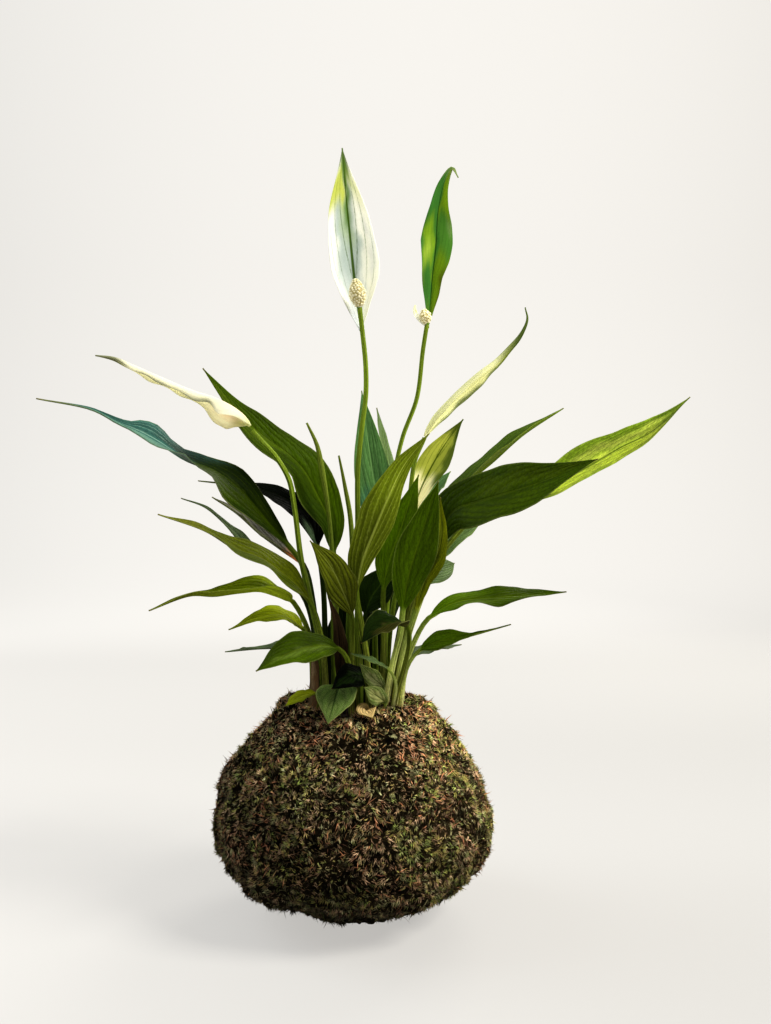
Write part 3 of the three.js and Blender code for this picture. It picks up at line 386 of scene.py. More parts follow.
footLeaves = {
    "foot_leaf_heart": dict(
        path=[[-7, -17, 88], [-6.5, -18, 105], [-6, -23, 116], [-7, -31, 114], [-10.5, -42, 101.5]],
        width=20, neck=2, faces=[[-0.1, -0.8, 0.5]], fold=[6], wave=0.4, waves=1, peak=0.3, stem=[1.3, 1]),
    "foot_leaf_ochre": dict(
        path=[[-16, -16, 88], [-16, -16, 105], [-18, -17, 111], [-25, -19, 110], [-32, -22, 106]],
        width=9, neck=2, faces=[[-0.2, -0.5, 0.9]], fold=[10], wave=0.4, waves=1, stem=[1.2, 0.9]),
    "foot_leaf_curled": dict(
        path=[[8, -17, 88], [8, -19, 106], [6.5, -26, 119.5], [0, -35, 122.5], [-9, -39, 117]],
        width=14, neck=2, faces=[[-0.2, -0.9, 0.5]], fold=[6], wave=0.4, waves=1, stem=[1.3, 1]),
    "foot_leaf_pale": dict(
        path=[[10.3, -21, 88], [12, -23, 106], [15, -27, 115], [10, -31, 121], [4, -35, 128]],
        width=8, neck=2, faces=[[-0.4, -0.7, 0.5]], fold=[10], wave=0.3, waves=1, stem=[1.1, 0.8]),
    "foot_leaf_tan": dict(
        path=[[13.8, -21, 88], [15, -23, 102], [16, -27, 108], [11, -31, 113], [6, -34, 117]],
        width=9, neck=2, faces=[[-0.5, -0.7, 0.5]], fold=[8], wave=0.4, waves=1, stem=[1.1, 0.8]),
    "foot_leaf_dry": dict(
        path=[[7, -23, 88], [7, -27, 104], [7, -31, 106], [10, -36, 103]],
        width=8, neck=1, faces=[[0.2, -0.8, 0.5]], fold=[14], wave=0.4, waves=1, stem=[1.1, 0.8]),
    "foot_leaf_slim": dict(
        path=[[17.2, -20.3, 88], [19.2, -21.6, 104], [21, -27.5, 117], [17, -34, 126], [8, -39, 131],
        [0, -42, 134]],
        width=4, faces=[[-0.4, -0.5, 0.7]], fold=[14], wave=0.2, stem=[1.1, 0.7]),
    "old_sheath": dict(
        path=[[-21, -12, 88], [-20.5, -12, 100], [-19.5, -12, 118], [-19, -12.5, 136]],
        width=8, neck=1, faces=[[0.6, 0.4, 0]], roll=[120, 100], wave=0.4, peak=0.3, stem=[1.6, 1.6]),
}
shoots = {
    "leaf_spear_left": dict(
        path=[[-8.5, -0.5, 88], [-10, -3, 129], [-10, -6, 160], [-10.5, -10, 182], [-12, -13, 200],
        [-15, -17, 220], [-17, -19, 231], [-22, -20, 242]],
        radii=[1.6, 1.4, 1.3, 1.2, 1.2, 1.1, 1.5, 0.5]),
    "leaf_spear_middle": dict(
        path=[[-3, 8, 88], [-3, 9, 144], [-1, 10, 174], [-2, 10, 196], [-5, 11, 213], [-8, 12, 228]],
        radii=[1.5, 1.3, 1.2, 1.2, 1.3, 1.2, 0.5]),
    "leaf_spear_low": dict(
        path=[[4.5, -14, 88], [4, -15, 112], [4, -16, 126], [3, -17, 139]],
        radii=[1.2, 1.1, 1.4, 0.4]),
}
stalks = {
    "flower_tall_stalk": dict(
        path=[[1, 4, 88], [2, 4, 154], [2, 4, 195], [2, 4, 220], [4, 4, 241], [6, 4, 258], [6, 3, 273],
        [4, 2, 293], [3, 1, 302]],
        radii=[1.8, 1.5, 1.3, 1.2]),
    "flower_green_stalk": dict(
        path=[[12, 1, 88], [11, 6, 154], [17, 9, 195], [21, 10, 221], [25, 10, 238], [32, 8, 257],
        [35, 6, 281], [37, 5, 294]],
        radii=[1.7, 1.3, 1.1, 1.1]),
    "flower_left_stalk": dict(
        path=[[-14.5, -3.5, 88], [-16, -8, 131], [-21, -12, 156], [-25, -16, 176], [-28, -20, 202],
        [-30.5, -22, 215], [-37, -22, 226], [-43, -22, 232.5], [-48, -22, 238]],
        radii=[1.8, 1.5, 1.3, 1.2]),
    "flower_right_stalk": dict(
        path=[[15, -4, 88], [17, 3, 154], [23, 8, 185], [28, 10, 205], [31, 10, 225], [36, 10, 237]],
        radii=[1.7, 1.4, 1.2, 1.1]),
    "flower_young_stalk": dict(
        path=[[15, 8, 88], [19, 14, 143], [25, 18, 174], [29, 22, 195]],
        radii=[1.7, 1.4, 1.2, 1.2]),
}
spathes = {
    "flower_tall_spathe": dict(
        path=[[3.5, 4.5, 291], [2, 8, 301], [0, 10, 318], [-2, 10, 338], [-4.5, 9, 364], [-6, 6, 384]],
        width=28, neck=0, faces=[[0.1, -1, 0.1]], roll=[70, 45, 30, 40], wave=0.8, phase=1, peak=0.38),
    "flower_green_spathe": dict(
        path=[[37.4, 7.4, 293], [38, 8.7, 297], [39, 10, 306], [40, 10, 318], [42, 10, 336], [43, 9, 353],
        [46, 8, 367], [50, 7, 374], [53, 6, 369]],
        width=17, neck=0, faces=[[0.2, -1, 0]], fold=[14], wave=0.8, waves=3, peak=0.5,
        fullness=[1, 1, 1, 0.85, 0.7]),
    "flower_left_spathe": dict(
        path=[[-49.2, -21.5, 240.3], [-53, -21, 245], [-57.5, -20.5, 248.5], [-66, -20, 253],
        [-78, -20.5, 257], [-92.5, -22, 263.3], [-104.5, -23, 268.6], [-113, -23, 272.5],
        [-123, -23, 274]],
        width=26, neck=0, faces=[[-0.2, -0.5, -0.8]],
        roll=[95, 105, 115, 135, 150, 150, 150, 150, 150, 140, 120], wave=0.9, waves=5, peak=0.22,
        fullness=[1.1, 1.2, 0.95, 0.6, 0.4, 0.42, 0.5, 0.55, 0.6, 0.8, 1]),
    "flower_right_spathe": dict(
        path=[[36.3, 10, 237.7], [41, 10, 247], [48, 10, 255], [56, 10, 263], [64, 9, 270], [72, 9, 276],
        [79, 8, 283], [85, 7, 290], [88, 6, 297], [87, 6, 303]],
        width=17, neck=0, faces=[[0.65, -0.35, -0.65]], roll=[90, 80, 90, 110], wave=0.4, peak=0.3,
        fullness=[1, 1, 0.9, 0.8, 0.9]),
    "flower_young_spathe": dict(
        path=[[29.2, 22.2, 195.7], [35, 25, 212], [42, 26, 226], [49, 26, 237], [57, 25, 248]],
        width=16, neck=0, faces=[[-0.3, -0.9, 0.2]], roll=[70, 40, 30], peak=0.45),
}
spadices = {
    "flower_tall_spadix": dict(
        at=[2.8, 0.8, 302.6], points=[-0.15, -0.2, 1], length=13.5, radius=4.4),
    "flower_green_spadix": dict(
        at=[37, 4.7, 294.8], points=[-0.25, -0.25, 1], length=7, radius=3),
}


# Leaf and petal surfaces

halfColumns = [0, 0.05, 0.12, 0.25, 0.4, 0.55, 0.7, 0.83, 0.93, 0.985, 1]
columns = np.array([-u for u in halfColumns[:0:-1]] + halfColumns)
bladeLook = {
    "thickMiddle": 0.3, "thickEdge": 0.14, "groove": 0.35, "ripple": 0.35, "leafSteps": 46, "footSteps": 30,
    "petalSteps": 60, "curlSteps": 16, "softAlong": 0.06, "softAcross": 0.14, "driftStep": 1.7,
    "veinStart": 20, "underRelief": -0.7, "fineGrain": 420.0, "broadGrain": 70.0, "powderGrain": 190.0,
    "dustGrain": 480.0,
}


def facing(faces, share):
    ways = unit(np.array(faces, float))
    return np.stack([along(ways[:, k], share) for k in range(3)], -1)


def bladeOutline(v, peak):
    rise = np.sin(np.pi / 2 * np.clip(v / peak, 0, 1)) ** 0.85
    fall = np.maximum(np.cos(np.pi / 2 * np.clip((v - peak) / (1 - peak), 0, 1)), 0) ** 1.15
    return np.where(v < peak, rise, fall)


# Wavy edges: how much wider the left and the right half are, from base to tip. One list is for both.
edgeWear = {
    "flower_young_spathe": ([1], [1, 1, 1.1, 1.3, 1.4, 1.3, 1.1]),
    "leaf_far_left": (
        [1, 1.2, 1.6, 1.9, 1.9, 1.3, 1, 0.9, 1.2, 1],
        [1, 1, 1.2, 1.3, 1.1, 0.8, 1.6, 1.3, 1.3, 1],
    ),
    "leaf_left_tall": ([1, 0.9, 1.05, 0.85, 1.05, 1, 0.9, 1], [1, 1.1, 0.92, 1.08, 0.95, 1.1, 0.95, 1]),
    "leaf_left_shaded": ([1, 0.8, 1.3, 0.9, 1.2, 1], [1, 1.3, 0.8, 1.2, 1, 1]),
    "leaf_left_olive": ([1, 1.1, 0.95, 1.1, 0.9, 1], [1, 0.95, 1.1, 0.9, 1.1, 1]),
    "leaf_front_olive": ([1, 1, 1.06, 0.95, 1.05, 1], [1, 1.05, 0.92, 1.06, 0.95, 1]),
    "leaf_centre_bright": ([1, 1.1, 0.95, 1.05, 0.95, 1], [1, 0.95, 1.08, 0.92, 1.05, 1]),
    "leaf_right_broad": ([1, 1.05, 1, 1.02, 0.97, 1], [1, 1.02, 1.06, 0.95, 1.05, 0.95, 1]),
    "leaf_right_low": ([1, 1.5, 1.4, 0.85, 1, 1.25, 1.3, 1, 0.4], [1, 1, 1.25, 0.85, 1.15, 1.1, 0.8, 0.4]),
    "leaf_right_far": ([1, 1.12, 0.9, 1.08, 1, 1], [1, 0.95, 1.06, 0.95, 1.03, 1]),
    "leaf_right_lowest": ([1, 1.2, 1.2, 1.1, 0.8, 0.45, 0.35, 0.35],),
    "foot_leaf_dry": ([1.2], [1.25]),
    "flower_right_spathe": ([0.8, 0.85, 0.7], [0.9, 0.85, 0.7]),
    "flower_tall_spathe": ([1, 0.9, 0.86, 0.9, 0.97, 1, 1.02, 1, 1], [1, 0.9, 1, 1.02, 1, 0.98, 1, 1]),
    "flower_green_spathe": (
        [0.6, 0.65, 0.75, 0.85, 0.92, 1, 0.92, 0.86, 0.96, 1, 1],
        [0.6, 0.62, 0.78, 0.72, 0.96, 1, 1.02, 0.9, 0.84, 0.9, 1],
    ),
}


def bladeRings(name, leaf, bladeSteps):
    leaf = {**usualBlade, **leaf}
    route = Route(leaf["path"])
    neck = route.lengths[leaf["neck"] * pathSteps]
    footRadius, neckRadius = leaf["stem"]
    even = np.linspace(0, 1, bladeSteps + 1)
    v = mixed(even, 0.5 - 0.5 * np.cos(np.pi * even), 0.55)
    stemSteps = int(max(neck / 4, 2)) if neck > 0 else 0
    stemLengths = neck * np.arange(stemSteps) / max(stemSteps, 1)
    lengths = np.concatenate([stemLengths, neck + v * (route.total - neck)])
    v = np.concatenate([np.zeros(stemSteps), v])
    tangents = route.heading(lengths)
    if stemSteps:
        tangents[0] = (0, 0, 1)
    ups = squareTo(facing(leaf["faces"], v), tangents)
    for i in reversed(range(stemSteps)):
        ups[i] = squareTo(ups[i + 1], tangents[i])
    centres = route.at(lengths)[:, None]
    sides = np.cross(tangents, ups)[:, None]
    ups = ups[:, None]
    share = np.minimum(lengths / neck, 1) if neck > 0 else np.ones(len(lengths))
    radius = mixed(neckRadius, footRadius, (1 - share) ** 1.5)[:, None]

    u = np.concatenate([columns, columns[::-1]])[None]
    isTop = np.repeat([1.0, 0.0], len(columns))[None]
    turn = np.where(isTop > 0, np.pi / 2 - u * 1.5, -np.pi / 2 + u * 1.5)
    stemRings = roundRings(centres, sides, ups, turn, radius)

    outline = bladeOutline(v, leaf["peak"])
    half = leaf["width"] / 2 * outline * along(leaf["fullness"], v)
    half = np.maximum(half, mixed(neckRadius, 0.3, v))[:, None]
    outline = outline[:, None]
    v = v[:, None]
    edge = leaf["phase"] + np.where(u < 0, 0, 2.2)
    ripple = bladeLook["ripple"] * outline * np.abs(u) ** 3
    wave = leaf["wave"] * outline * u ** 2 * np.sin(2 * np.pi * leaf["waves"] * v + edge)
    wave = wave + ripple * (np.sin(19 * v + 2.3 * edge + 1) + 0.5 * np.sin(41 * v + 3.1 * edge))
    half = half * (1 + 0.03 * np.abs(u) * np.sin(15 * v + 3 * edge) * outline)
    wear = edgeWear.get(name, ([1],))
    reach = half * np.where(u < 0, along(wear[0], v), along(wear[-1], v))
    if "roll" in leaf:
        roll = np.radians(along(leaf["roll"], v))
        lean = u * roll
        across = reach / roll * np.sin(lean)
        rise = reach / roll * (1 - np.cos(lean)) + wave
    else:
        fold = np.radians(along(leaf["fold"], v))
        soft = np.sqrt(u ** 2 + 0.004)
        lean = fold * u / soft
        across = reach * u * np.cos(fold)
        rise = half * np.sin(fold) * (soft - 0.5) + wave
    offset = u * reach
    thin = mixed(bladeLook["thickMiddle"], bladeLook["thickEdge"], np.abs(u) ** 3)
    ribHeight = neckRadius * 1.15 * (1 - v) ** 0.7
    rib = ribHeight * np.exp(-(offset / (0.5 + 0.7 * ribHeight)) ** 2)
    groove = bladeLook["groove"] * (1 - v) * np.exp(-(offset / 0.8) ** 2)
    lift = np.where(isTop > 0, thin - groove, -thin - rib)
    middle = centres + sides * across[..., None] + ups * rise[..., None]
    outward = ups * np.cos(lean)[..., None] - sides * np.sin(lean)[..., None]
    flatShare = blendOf(0, 0.06 if neck > 0 else 0.03, v)[..., None]
    rings = mixed(stemRings, middle + outward * lift[..., None], flatShare)
    place = np.where(share[:, None] < 1, share[:, None] - 1, v) + 0 * u
    return rings, place, u + 0 * place, isTop + 0 * place


# Leaf paints, with how clear, how many and how far swept the veins are, and how deep they are pressed in
usualPaint = {"dust": 0.0, "paleRimAndHighlight": 0.25}
leafPaint = {
    "dark": dict(top=(0.042, 0.074, 0.001), under=(0.15, 0.20, 0.010), vein=(0.10, 0.14, 0.006),
                 clear=0.18, count=8, sweep=0.5, rough=0.42, relief=0.45),
    # deep: near-black green, painted shade for leaves that sit in the shadow of others
    "deep": dict(top=(0.010, 0.022, 0.002), under=(0.04, 0.06, 0.006), vein=(0.04, 0.07, 0.008),
                 clear=0.3, count=8, sweep=0.5, rough=0.42, relief=0.6),
    "green": dict(top=(0.070, 0.120, 0.002), under=(0.17, 0.23, 0.012), vein=(0.15, 0.21, 0.012),
                  clear=0.25, count=7, sweep=0.6, rough=0.42, relief=0.6),
    "olive": dict(top=(0.125, 0.155, 0.002), under=(0.17, 0.20, 0.012), vein=(0.24, 0.28, 0.03),
                  clear=0.25, count=7, sweep=0.55, rough=0.5, relief=0.6),
    "underside": dict(top=(0.135, 0.16, 0.009), under=(0.12, 0.15, 0.009), vein=(0.30, 0.34, 0.07),
                      clear=0.6, count=2.7, sweep=1.25, rough=0.5, relief=1.5),
    "yellow": dict(top=(0.21, 0.24, 0.006), under=(0.30, 0.33, 0.02), vein=(0.36, 0.39, 0.04),
                   clear=0.3, count=7, sweep=0.55, rough=0.5, relief=0.6),
    # bright: pale yellow-green, partly the leaf's own colour and partly painted backlight glowing through
    # the blade
    "bright": dict(top=(0.50, 0.54, 0.17), under=(0.40, 0.45, 0.08), vein=(0.07, 0.11, 0.004),
                   clear=0.85, count=5, sweep=1.0, rough=0.5, relief=0.8),
    # teal: the blue-green of a painted sky reflection on the glossy far-left leaf
    "teal": dict(top=(0.035, 0.105, 0.088), under=(0.10, 0.20, 0.14), vein=(0.20, 0.34, 0.27),
                 clear=0.7, count=2.4, sweep=1.6, rough=0.42, relief=0.5),
    "forest": dict(top=(0.055, 0.115, 0.036), under=(0.09, 0.18, 0.04), vein=(0.14, 0.25, 0.09),
                   clear=0.5, count=5, sweep=0.9, rough=0.42, relief=0.7),
    "pale": dict(top=(0.16, 0.24, 0.085), under=(0.20, 0.28, 0.11), vein=(0.08, 0.14, 0.03),
                 clear=0.5, count=6, sweep=0.7, rough=0.5, relief=0.7),
    "heart": dict(top=(0.058, 0.12, 0.014), under=(0.12, 0.18, 0.04), vein=(0.03, 0.06, 0.010),
                  clear=0.35, count=3, sweep=0.7, rough=0.6, relief=0.7, dust=0.85, paleRimAndHighlight=0.8),
    "patched": dict(top=(0.08, 0.115, 0.024), under=(0.18, 0.22, 0.06), vein=(0.06, 0.09, 0.02),
                    clear=0.4, count=3, sweep=0.8, rough=0.6, relief=0.8, dust=0.8, paleRimAndHighlight=0.6),
    "dry": dict(top=(0.62, 0.47, 0.22), under=(0.50, 0.36, 0.16), vein=(0.22, 0.12, 0.04),
                clear=0.6, count=4, sweep=0.9, rough=0.7, relief=1.2),
    "brown": dict(top=(0.15, 0.095, 0.045), under=(0.10, 0.06, 0.03), vein=(0.03, 0.016, 0.008),
                  clear=0.8, count=3, sweep=1.5, rough=0.7, relief=1.0),
}
# Colour of the pale leaf edge: partly a pale leaf margin, partly a painted edge highlight
paleRimAndHighlightTint = (0.42, 0.46, 0.16)
tipTint = (0.20, 0.15, 0.05)
dustTint = (0.36, 0.40, 0.17)

# The paint of each leaf, its lightness from base to tip, the tone of its stem, and its left and right half.
# The lightness is partly the leaf's own tone and partly painted light and shade: leaves in shade are
# darkened, lit ones are brightened. The left and right half factors are painted light on one half of a
# folded leaf and painted shade on the other.
leafWears = {
    "leaf_far_left": ("teal", [1, 1, 1, 1, 1, 1.1, 0.9], "green"),
    "leaf_left_tall": ("dark", [0.6, 1, 0.95, 0.95, 1.3], "green", (1.0, 1.2)),
    # Painted shade: this leaf is darkened nearly to black where it lies in the shadow of the others
    "leaf_left_shaded": ("deep", [0.05, 0.05, 0.2, 1.3], "dim"),
    "leaf_left_mauve": ("olive", [0.4, 0.6, 0.8], "dim"),
    "leaf_left_thin": ("pale", [0.3, 0.4, 0.5], "dim"),
    "leaf_left_olive": ("olive", [0.55, 0.6, 0.65, 1], "green"),
    # Painted light: this leaf is brightened as if light were shining through it
    "leaf_left_level": ("olive", [1.6, 2.2, 1.7, 0.9, 0.8], "green"),
    "leaf_left_yellow": ("yellow", [1.1, 1.45, 1.25], "green"),
    "leaf_back_grey": ("pale", [0.25, 0.4, 0.6], "dim"),
    "leaf_front_left": ("green", [0.7, 0.75, 0.85], "green", (1.0, 0.65)),
    "leaf_front_olive": ("underside", [0.95, 1.15, 1.75, 1.95], "green"),
    "leaf_front_short": ("underside", [0.4, 0.6, 0.75], "green"),
    "leaf_back_teal": ("forest", [1.5, 1.8, 1.8], "dim"),
    "leaf_back_pale": ("pale", [0.6, 0.9], "dim"),
    "leaf_centre_bright": ("green", [1.3, 1.6, 1.5], "green"),
    "leaf_front_right": ("dark", [1.7, 1.5, 1.5], "pale"),
    "leaf_right_narrow": ("yellow", [0.8, 0.7], "pale"),
    "leaf_right_broad": ("dark", [0.75, 0.85, 0.95, 1], "pale"),
    "leaf_right_far": ("bright", [1.25, 1.4, 1.35, 1.1, 0.8], "green"),
    "leaf_right_up": ("green", [0.8, 1.05, 1.8], "green"),
    "leaf_back_right_teal": ("forest", [0.7, 1.2], "dim"),
    "leaf_right_low": ("green", [2.2, 1.7, 0.7, 0.65, 0.8], "pale"),
    "leaf_right_lowest": ("dark", [1.5, 1.3, 1], "pale"),
    "leaf_back_right_low": ("pale", [0.3, 0.4], "dim"),
    "leaf_back_right_grey": ("pale", [0.8, 1], "dim"),
    "leaf_back_blunt": ("pale", [0.55, 0.7], "dim"),
    "leaf_centre_dark": ("deep", [1.2, 1.9], "dim"),
    "leaf_front_droop": ("deep", [1.4, 1, 0.9], "green"),
    "leaf_low_left": ("deep", [0.7, 0.8], "dim"),
    "leaf_low_middle": ("deep", [0.7, 0.8], "dim"),
    "leaf_centre_brown": ("brown", [0.3, 0.4], "brown"),
    "foot_leaf_heart": ("heart", [1.2, 1.15, 1], "green"),
    "foot_leaf_ochre": ("yellow", [0.7, 0.9, 1.3], "green"),
    "foot_leaf_curled": ("deep", [0.12, 0.1], "green"),
    "foot_leaf_pale": ("patched", [1.1, 1.3], "green"),
    "foot_leaf_tan": ("patched", [1.2, 1.4], "pale"),
    "foot_leaf_dry": ("dry", [1, 1.1], "pale"),
    "foot_leaf_slim": ("pale", [0.7, 0.9], "pale"),
    "old_sheath": ("brown", [1.8, 1.5], "brown"),
}

# Soft patches on single leaves: from and to along, from and to across, colour, strength. Some are the
# leaf's own colour, such as brown tips and tan spots. Others are painted light and shade, such as sheen,
# sky reflection, backlit glow, lit lobes and shaded parts.
leafPatchesAndLight = {
    "leaf_far_left": [
        (-1, 0.5, -1, 1, (0.010, 0.022, 0.0003), 1.0),
        (0.08, 0.46, -0.8, -0.1, (0.032, 0.052, 0.0003), 0.7),
        (0.02, 0.2, -0.5, 0.6, (0.03, 0.05, 0.0005), 0.6),
        # Painted reflection: the teal band and the pale grey-green patch are a sky reflection and a
        # highlight on the upper face
        (0.40, 0.58, 0.2, 1, (0.035, 0.075, 0.062), 0.85),
        (0.54, 0.88, -1, -0.3, (0.13, 0.23, 0.17), 0.7),
        (0.9, 1.2, -1, 1, (0.16, 0.16, 0.06), 0.8),
    ],
    "leaf_left_tall": [
        # Painted light on the upper blade and painted shade on the lower left half near the stalk
        (0.55, 0.95, -0.7, 0.1, (0.10, 0.15, 0.01), 0.5),
        (-1, 0.3, -1, -0.2, (0.02, 0.04, 0.003), 0.6),
    ],
    # Painted highlight: a pale lit lobe at the base of the shaded leaf
    "leaf_left_shaded": [(-0.1, 0.14, -1, -0.1, (0.14, 0.21, 0.12), 0.7)],
    "leaf_left_mauve": [
        (0.0, 1.2, -0.2, 1, (0.125, 0.115, 0.115), 0.75),
        (0.0, 1.2, -1, -0.3, (0.045, 0.05, 0.02), 0.7),
        (-0.1, 0.16, -1, 1, (0.50, 0.20, 0.06), 0.9),
    ],
    "leaf_left_thin": [(0.2, 1.2, 0.0, 1, (0.03, 0.045, 0.02), 0.5)],
    "leaf_left_olive": [
        (0.1, 0.6, -1, -0.2, (0.05, 0.075, 0.003), 0.6),
        (0.75, 1.2, -1, 1, (0.17, 0.17, 0.03), 0.5),
    ],
    "leaf_front_left": [(0.1, 0.85, -0.4, 0.05, (0.12, 0.17, 0.03), 0.6)],
    "leaf_centre_bright": [(0.1, 0.8, 0.0, 0.7, (0.075, 0.12, 0.004), 0.5)],
    "leaf_right_narrow": [(0.1, 1.2, -0.3, 0.25, (0.05, 0.075, 0.004), 0.7)],
    "leaf_right_broad": [
        (0.35, 0.9, -0.75, -0.1, (0.065, 0.095, 0.002), 0.6),
        (0.2, 0.7, 0.2, 0.9, (0.05, 0.08, 0.001), 0.5),
    ],
    # Painted backlight: yellow-green panels where light shines through, beside a darker green half
    "leaf_right_far": [
        (-1, 0.95, 0.12, 1, (0.20, 0.31, 0.016), 0.85),
        (0.1, 0.85, 0.2, 0.62, (0.56, 0.60, 0.14), 0.75),
        (0.82, 1.2, -1, 1, (0.15, 0.23, 0.025), 0.7),
        (-0.1, 0.8, -1, -0.85, (0.18, 0.27, 0.03), 0.6),
    ],
    "leaf_back_teal": [(-1, 0.4, -1, 0.2, (0.05, 0.16, 0.11), 0.6)],
    "leaf_right_up": [(0.1, 1.2, -1, 0, (0.075, 0.12, 0.022), 0.7)],
    "leaf_right_low": [(0.3, 0.9, -0.3, 0.5, (0.09, 0.14, 0.006), 0.5)],
    "leaf_front_droop": [(-0.1, 0.75, -1, 0.05, (0.07, 0.065, 0.015), 0.75)],
    "foot_leaf_curled": [(0.1, 0.9, -0.5, 0.3, (0.02, 0.045, 0.006), 0.6)],
    "foot_leaf_pale": [(0.1, 0.7, -0.6, 0.4, (0.30, 0.30, 0.15), 0.7)],
    "foot_leaf_tan": [(0.1, 0.8, -0.6, 0.5, (0.36, 0.34, 0.14), 0.7)],
    "foot_leaf_slim": [(0.1, 0.9, -0.3, 0.3, (0.20, 0.28, 0.14), 0.5)],
    "old_sheath": [(-1, 1.2, -0.4, 0.5, (0.30, 0.23, 0.14), 0.6)],
}

# The same for the colour of the veins
veinTouches = {
    "leaf_far_left": [(-1, 0.52, -1, 1, (0.035, 0.055, 0.001), 1.0)],
    # Dark veins set against the painted backlight glow
    "leaf_right_far": [(-1, 1.2, 0.1, 1, (0.12, 0.18, 0.02), 1.0)],
}

# Stem colours from the blade down to the soil, and how far down the stem each of them sits. Dim is painted
# shade for stems in the dark middle of the crown. Pale is the stems' own light colour, brightened further
# as painted light.
stemTones = {
    "green": [(0.10, 0.14, 0.012), (0.15, 0.18, 0.025), (0.22, 0.23, 0.06), (0.17, 0.13, 0.05)],
    "dim": [(0.020, 0.038, 0.003), (0.025, 0.042, 0.004), (0.04, 0.055, 0.010), (0.04, 0.03, 0.015)],
    "pale": [(0.27, 0.34, 0.065), (0.45, 0.49, 0.18), (0.66, 0.62, 0.34), (0.66, 0.42, 0.22)],
    "brown": [(0.16, 0.10, 0.045), (0.15, 0.10, 0.045), (0.14, 0.09, 0.04), (0.10, 0.06, 0.03)],
}
stemStops = [0, 0.35, 0.8, 0.97]


def softStep(edge, soft, value):
    return blendOf(edge - soft, edge + soft, value)


def touched(tint, place, across, touches):
    v = place + 0.03 * np.sin(7 * across + 2) + 0.015 * np.sin(17 * across)
    u = across + 0.10 * np.sin(21 * place + 1) + 0.05 * np.sin(47 * place)
    softV, softU = bladeLook["softAlong"], bladeLook["softAcross"]
    for fromV, toV, fromU, toU, colour, strength in touches:
        share = softStep(fromV, softV, v) * (1 - softStep(toV, softV, v))
        share = share * softStep(fromU, softU, u) if fromU > -1 else share
        share = share * (1 - softStep(toU, softU, u)) if toU < 1 else share
        tint = mixed(tint, colour, strength * share[..., None])
    return tint


veinSockets = ("Thinness", "Midrib", "Wander")


def veinGroup():
    tree = bpy.data.node_groups.new("bladeVeins", "ShaderNodeTree")
    for name in veinSockets:
        tree.interface.new_socket(name, in_out="INPUT", socket_type="NodeSocketFloat")
    given = tree.nodes.new("NodeGroupInput").outputs
    place = attribute(tree, "place")
    across = calc(tree, "ABSOLUTE", attribute(tree, "across"))
    shift = product(tree, calc(tree, "SUBTRACT", noise(tree, 60.0, 1.0), 0.5), given["Wander"])
    turns = calc(tree, "FRACT", calc(tree, "ADD", attribute(tree, "veinRun"), shift))
    fromMiddle = calc(tree, "ABSOLUTE", calc(tree, "SUBTRACT", turns, 0.5))
    ridge = calc(tree, "SUBTRACT", 1.0, product(tree, fromMiddle, 2.0))
    fade = product(tree, ranged(tree, across, 0.8, 1.0, 1.0, 0.0), ranged(tree, place, 0.0, 0.05))
    patchy = ranged(tree, noise(tree, 30.0, 1.0), 0.35, 0.6, 0.5, 1.0)
    width = product(tree, given["Midrib"], ranged(tree, place, 0.0, 1.0, 1.2, 0.6))
    nearMiddle = ranged(tree, calc(tree, "DIVIDE", across, width), 0.5, 1.0, 1.0, 0.0)
    swell = calc(tree, "ABSOLUTE", calc(tree, "COSINE", product(tree, turns, math.pi)))
    results = {
        "Side": product(tree, ranged(tree, ridge, given["Thinness"], 1.0), fade, patchy),
        "Middle": product(tree, nearMiddle, ranged(tree, place, -0.02, 0.04)),
        "Swell": product(tree, swell, fade),
    }
    for name in results:
        tree.interface.new_socket(name, in_out="OUTPUT", socket_type="NodeSocketFloat")
    addNode(tree, "NodeGroupOutput", results)
    return tree


veins = veinGroup()


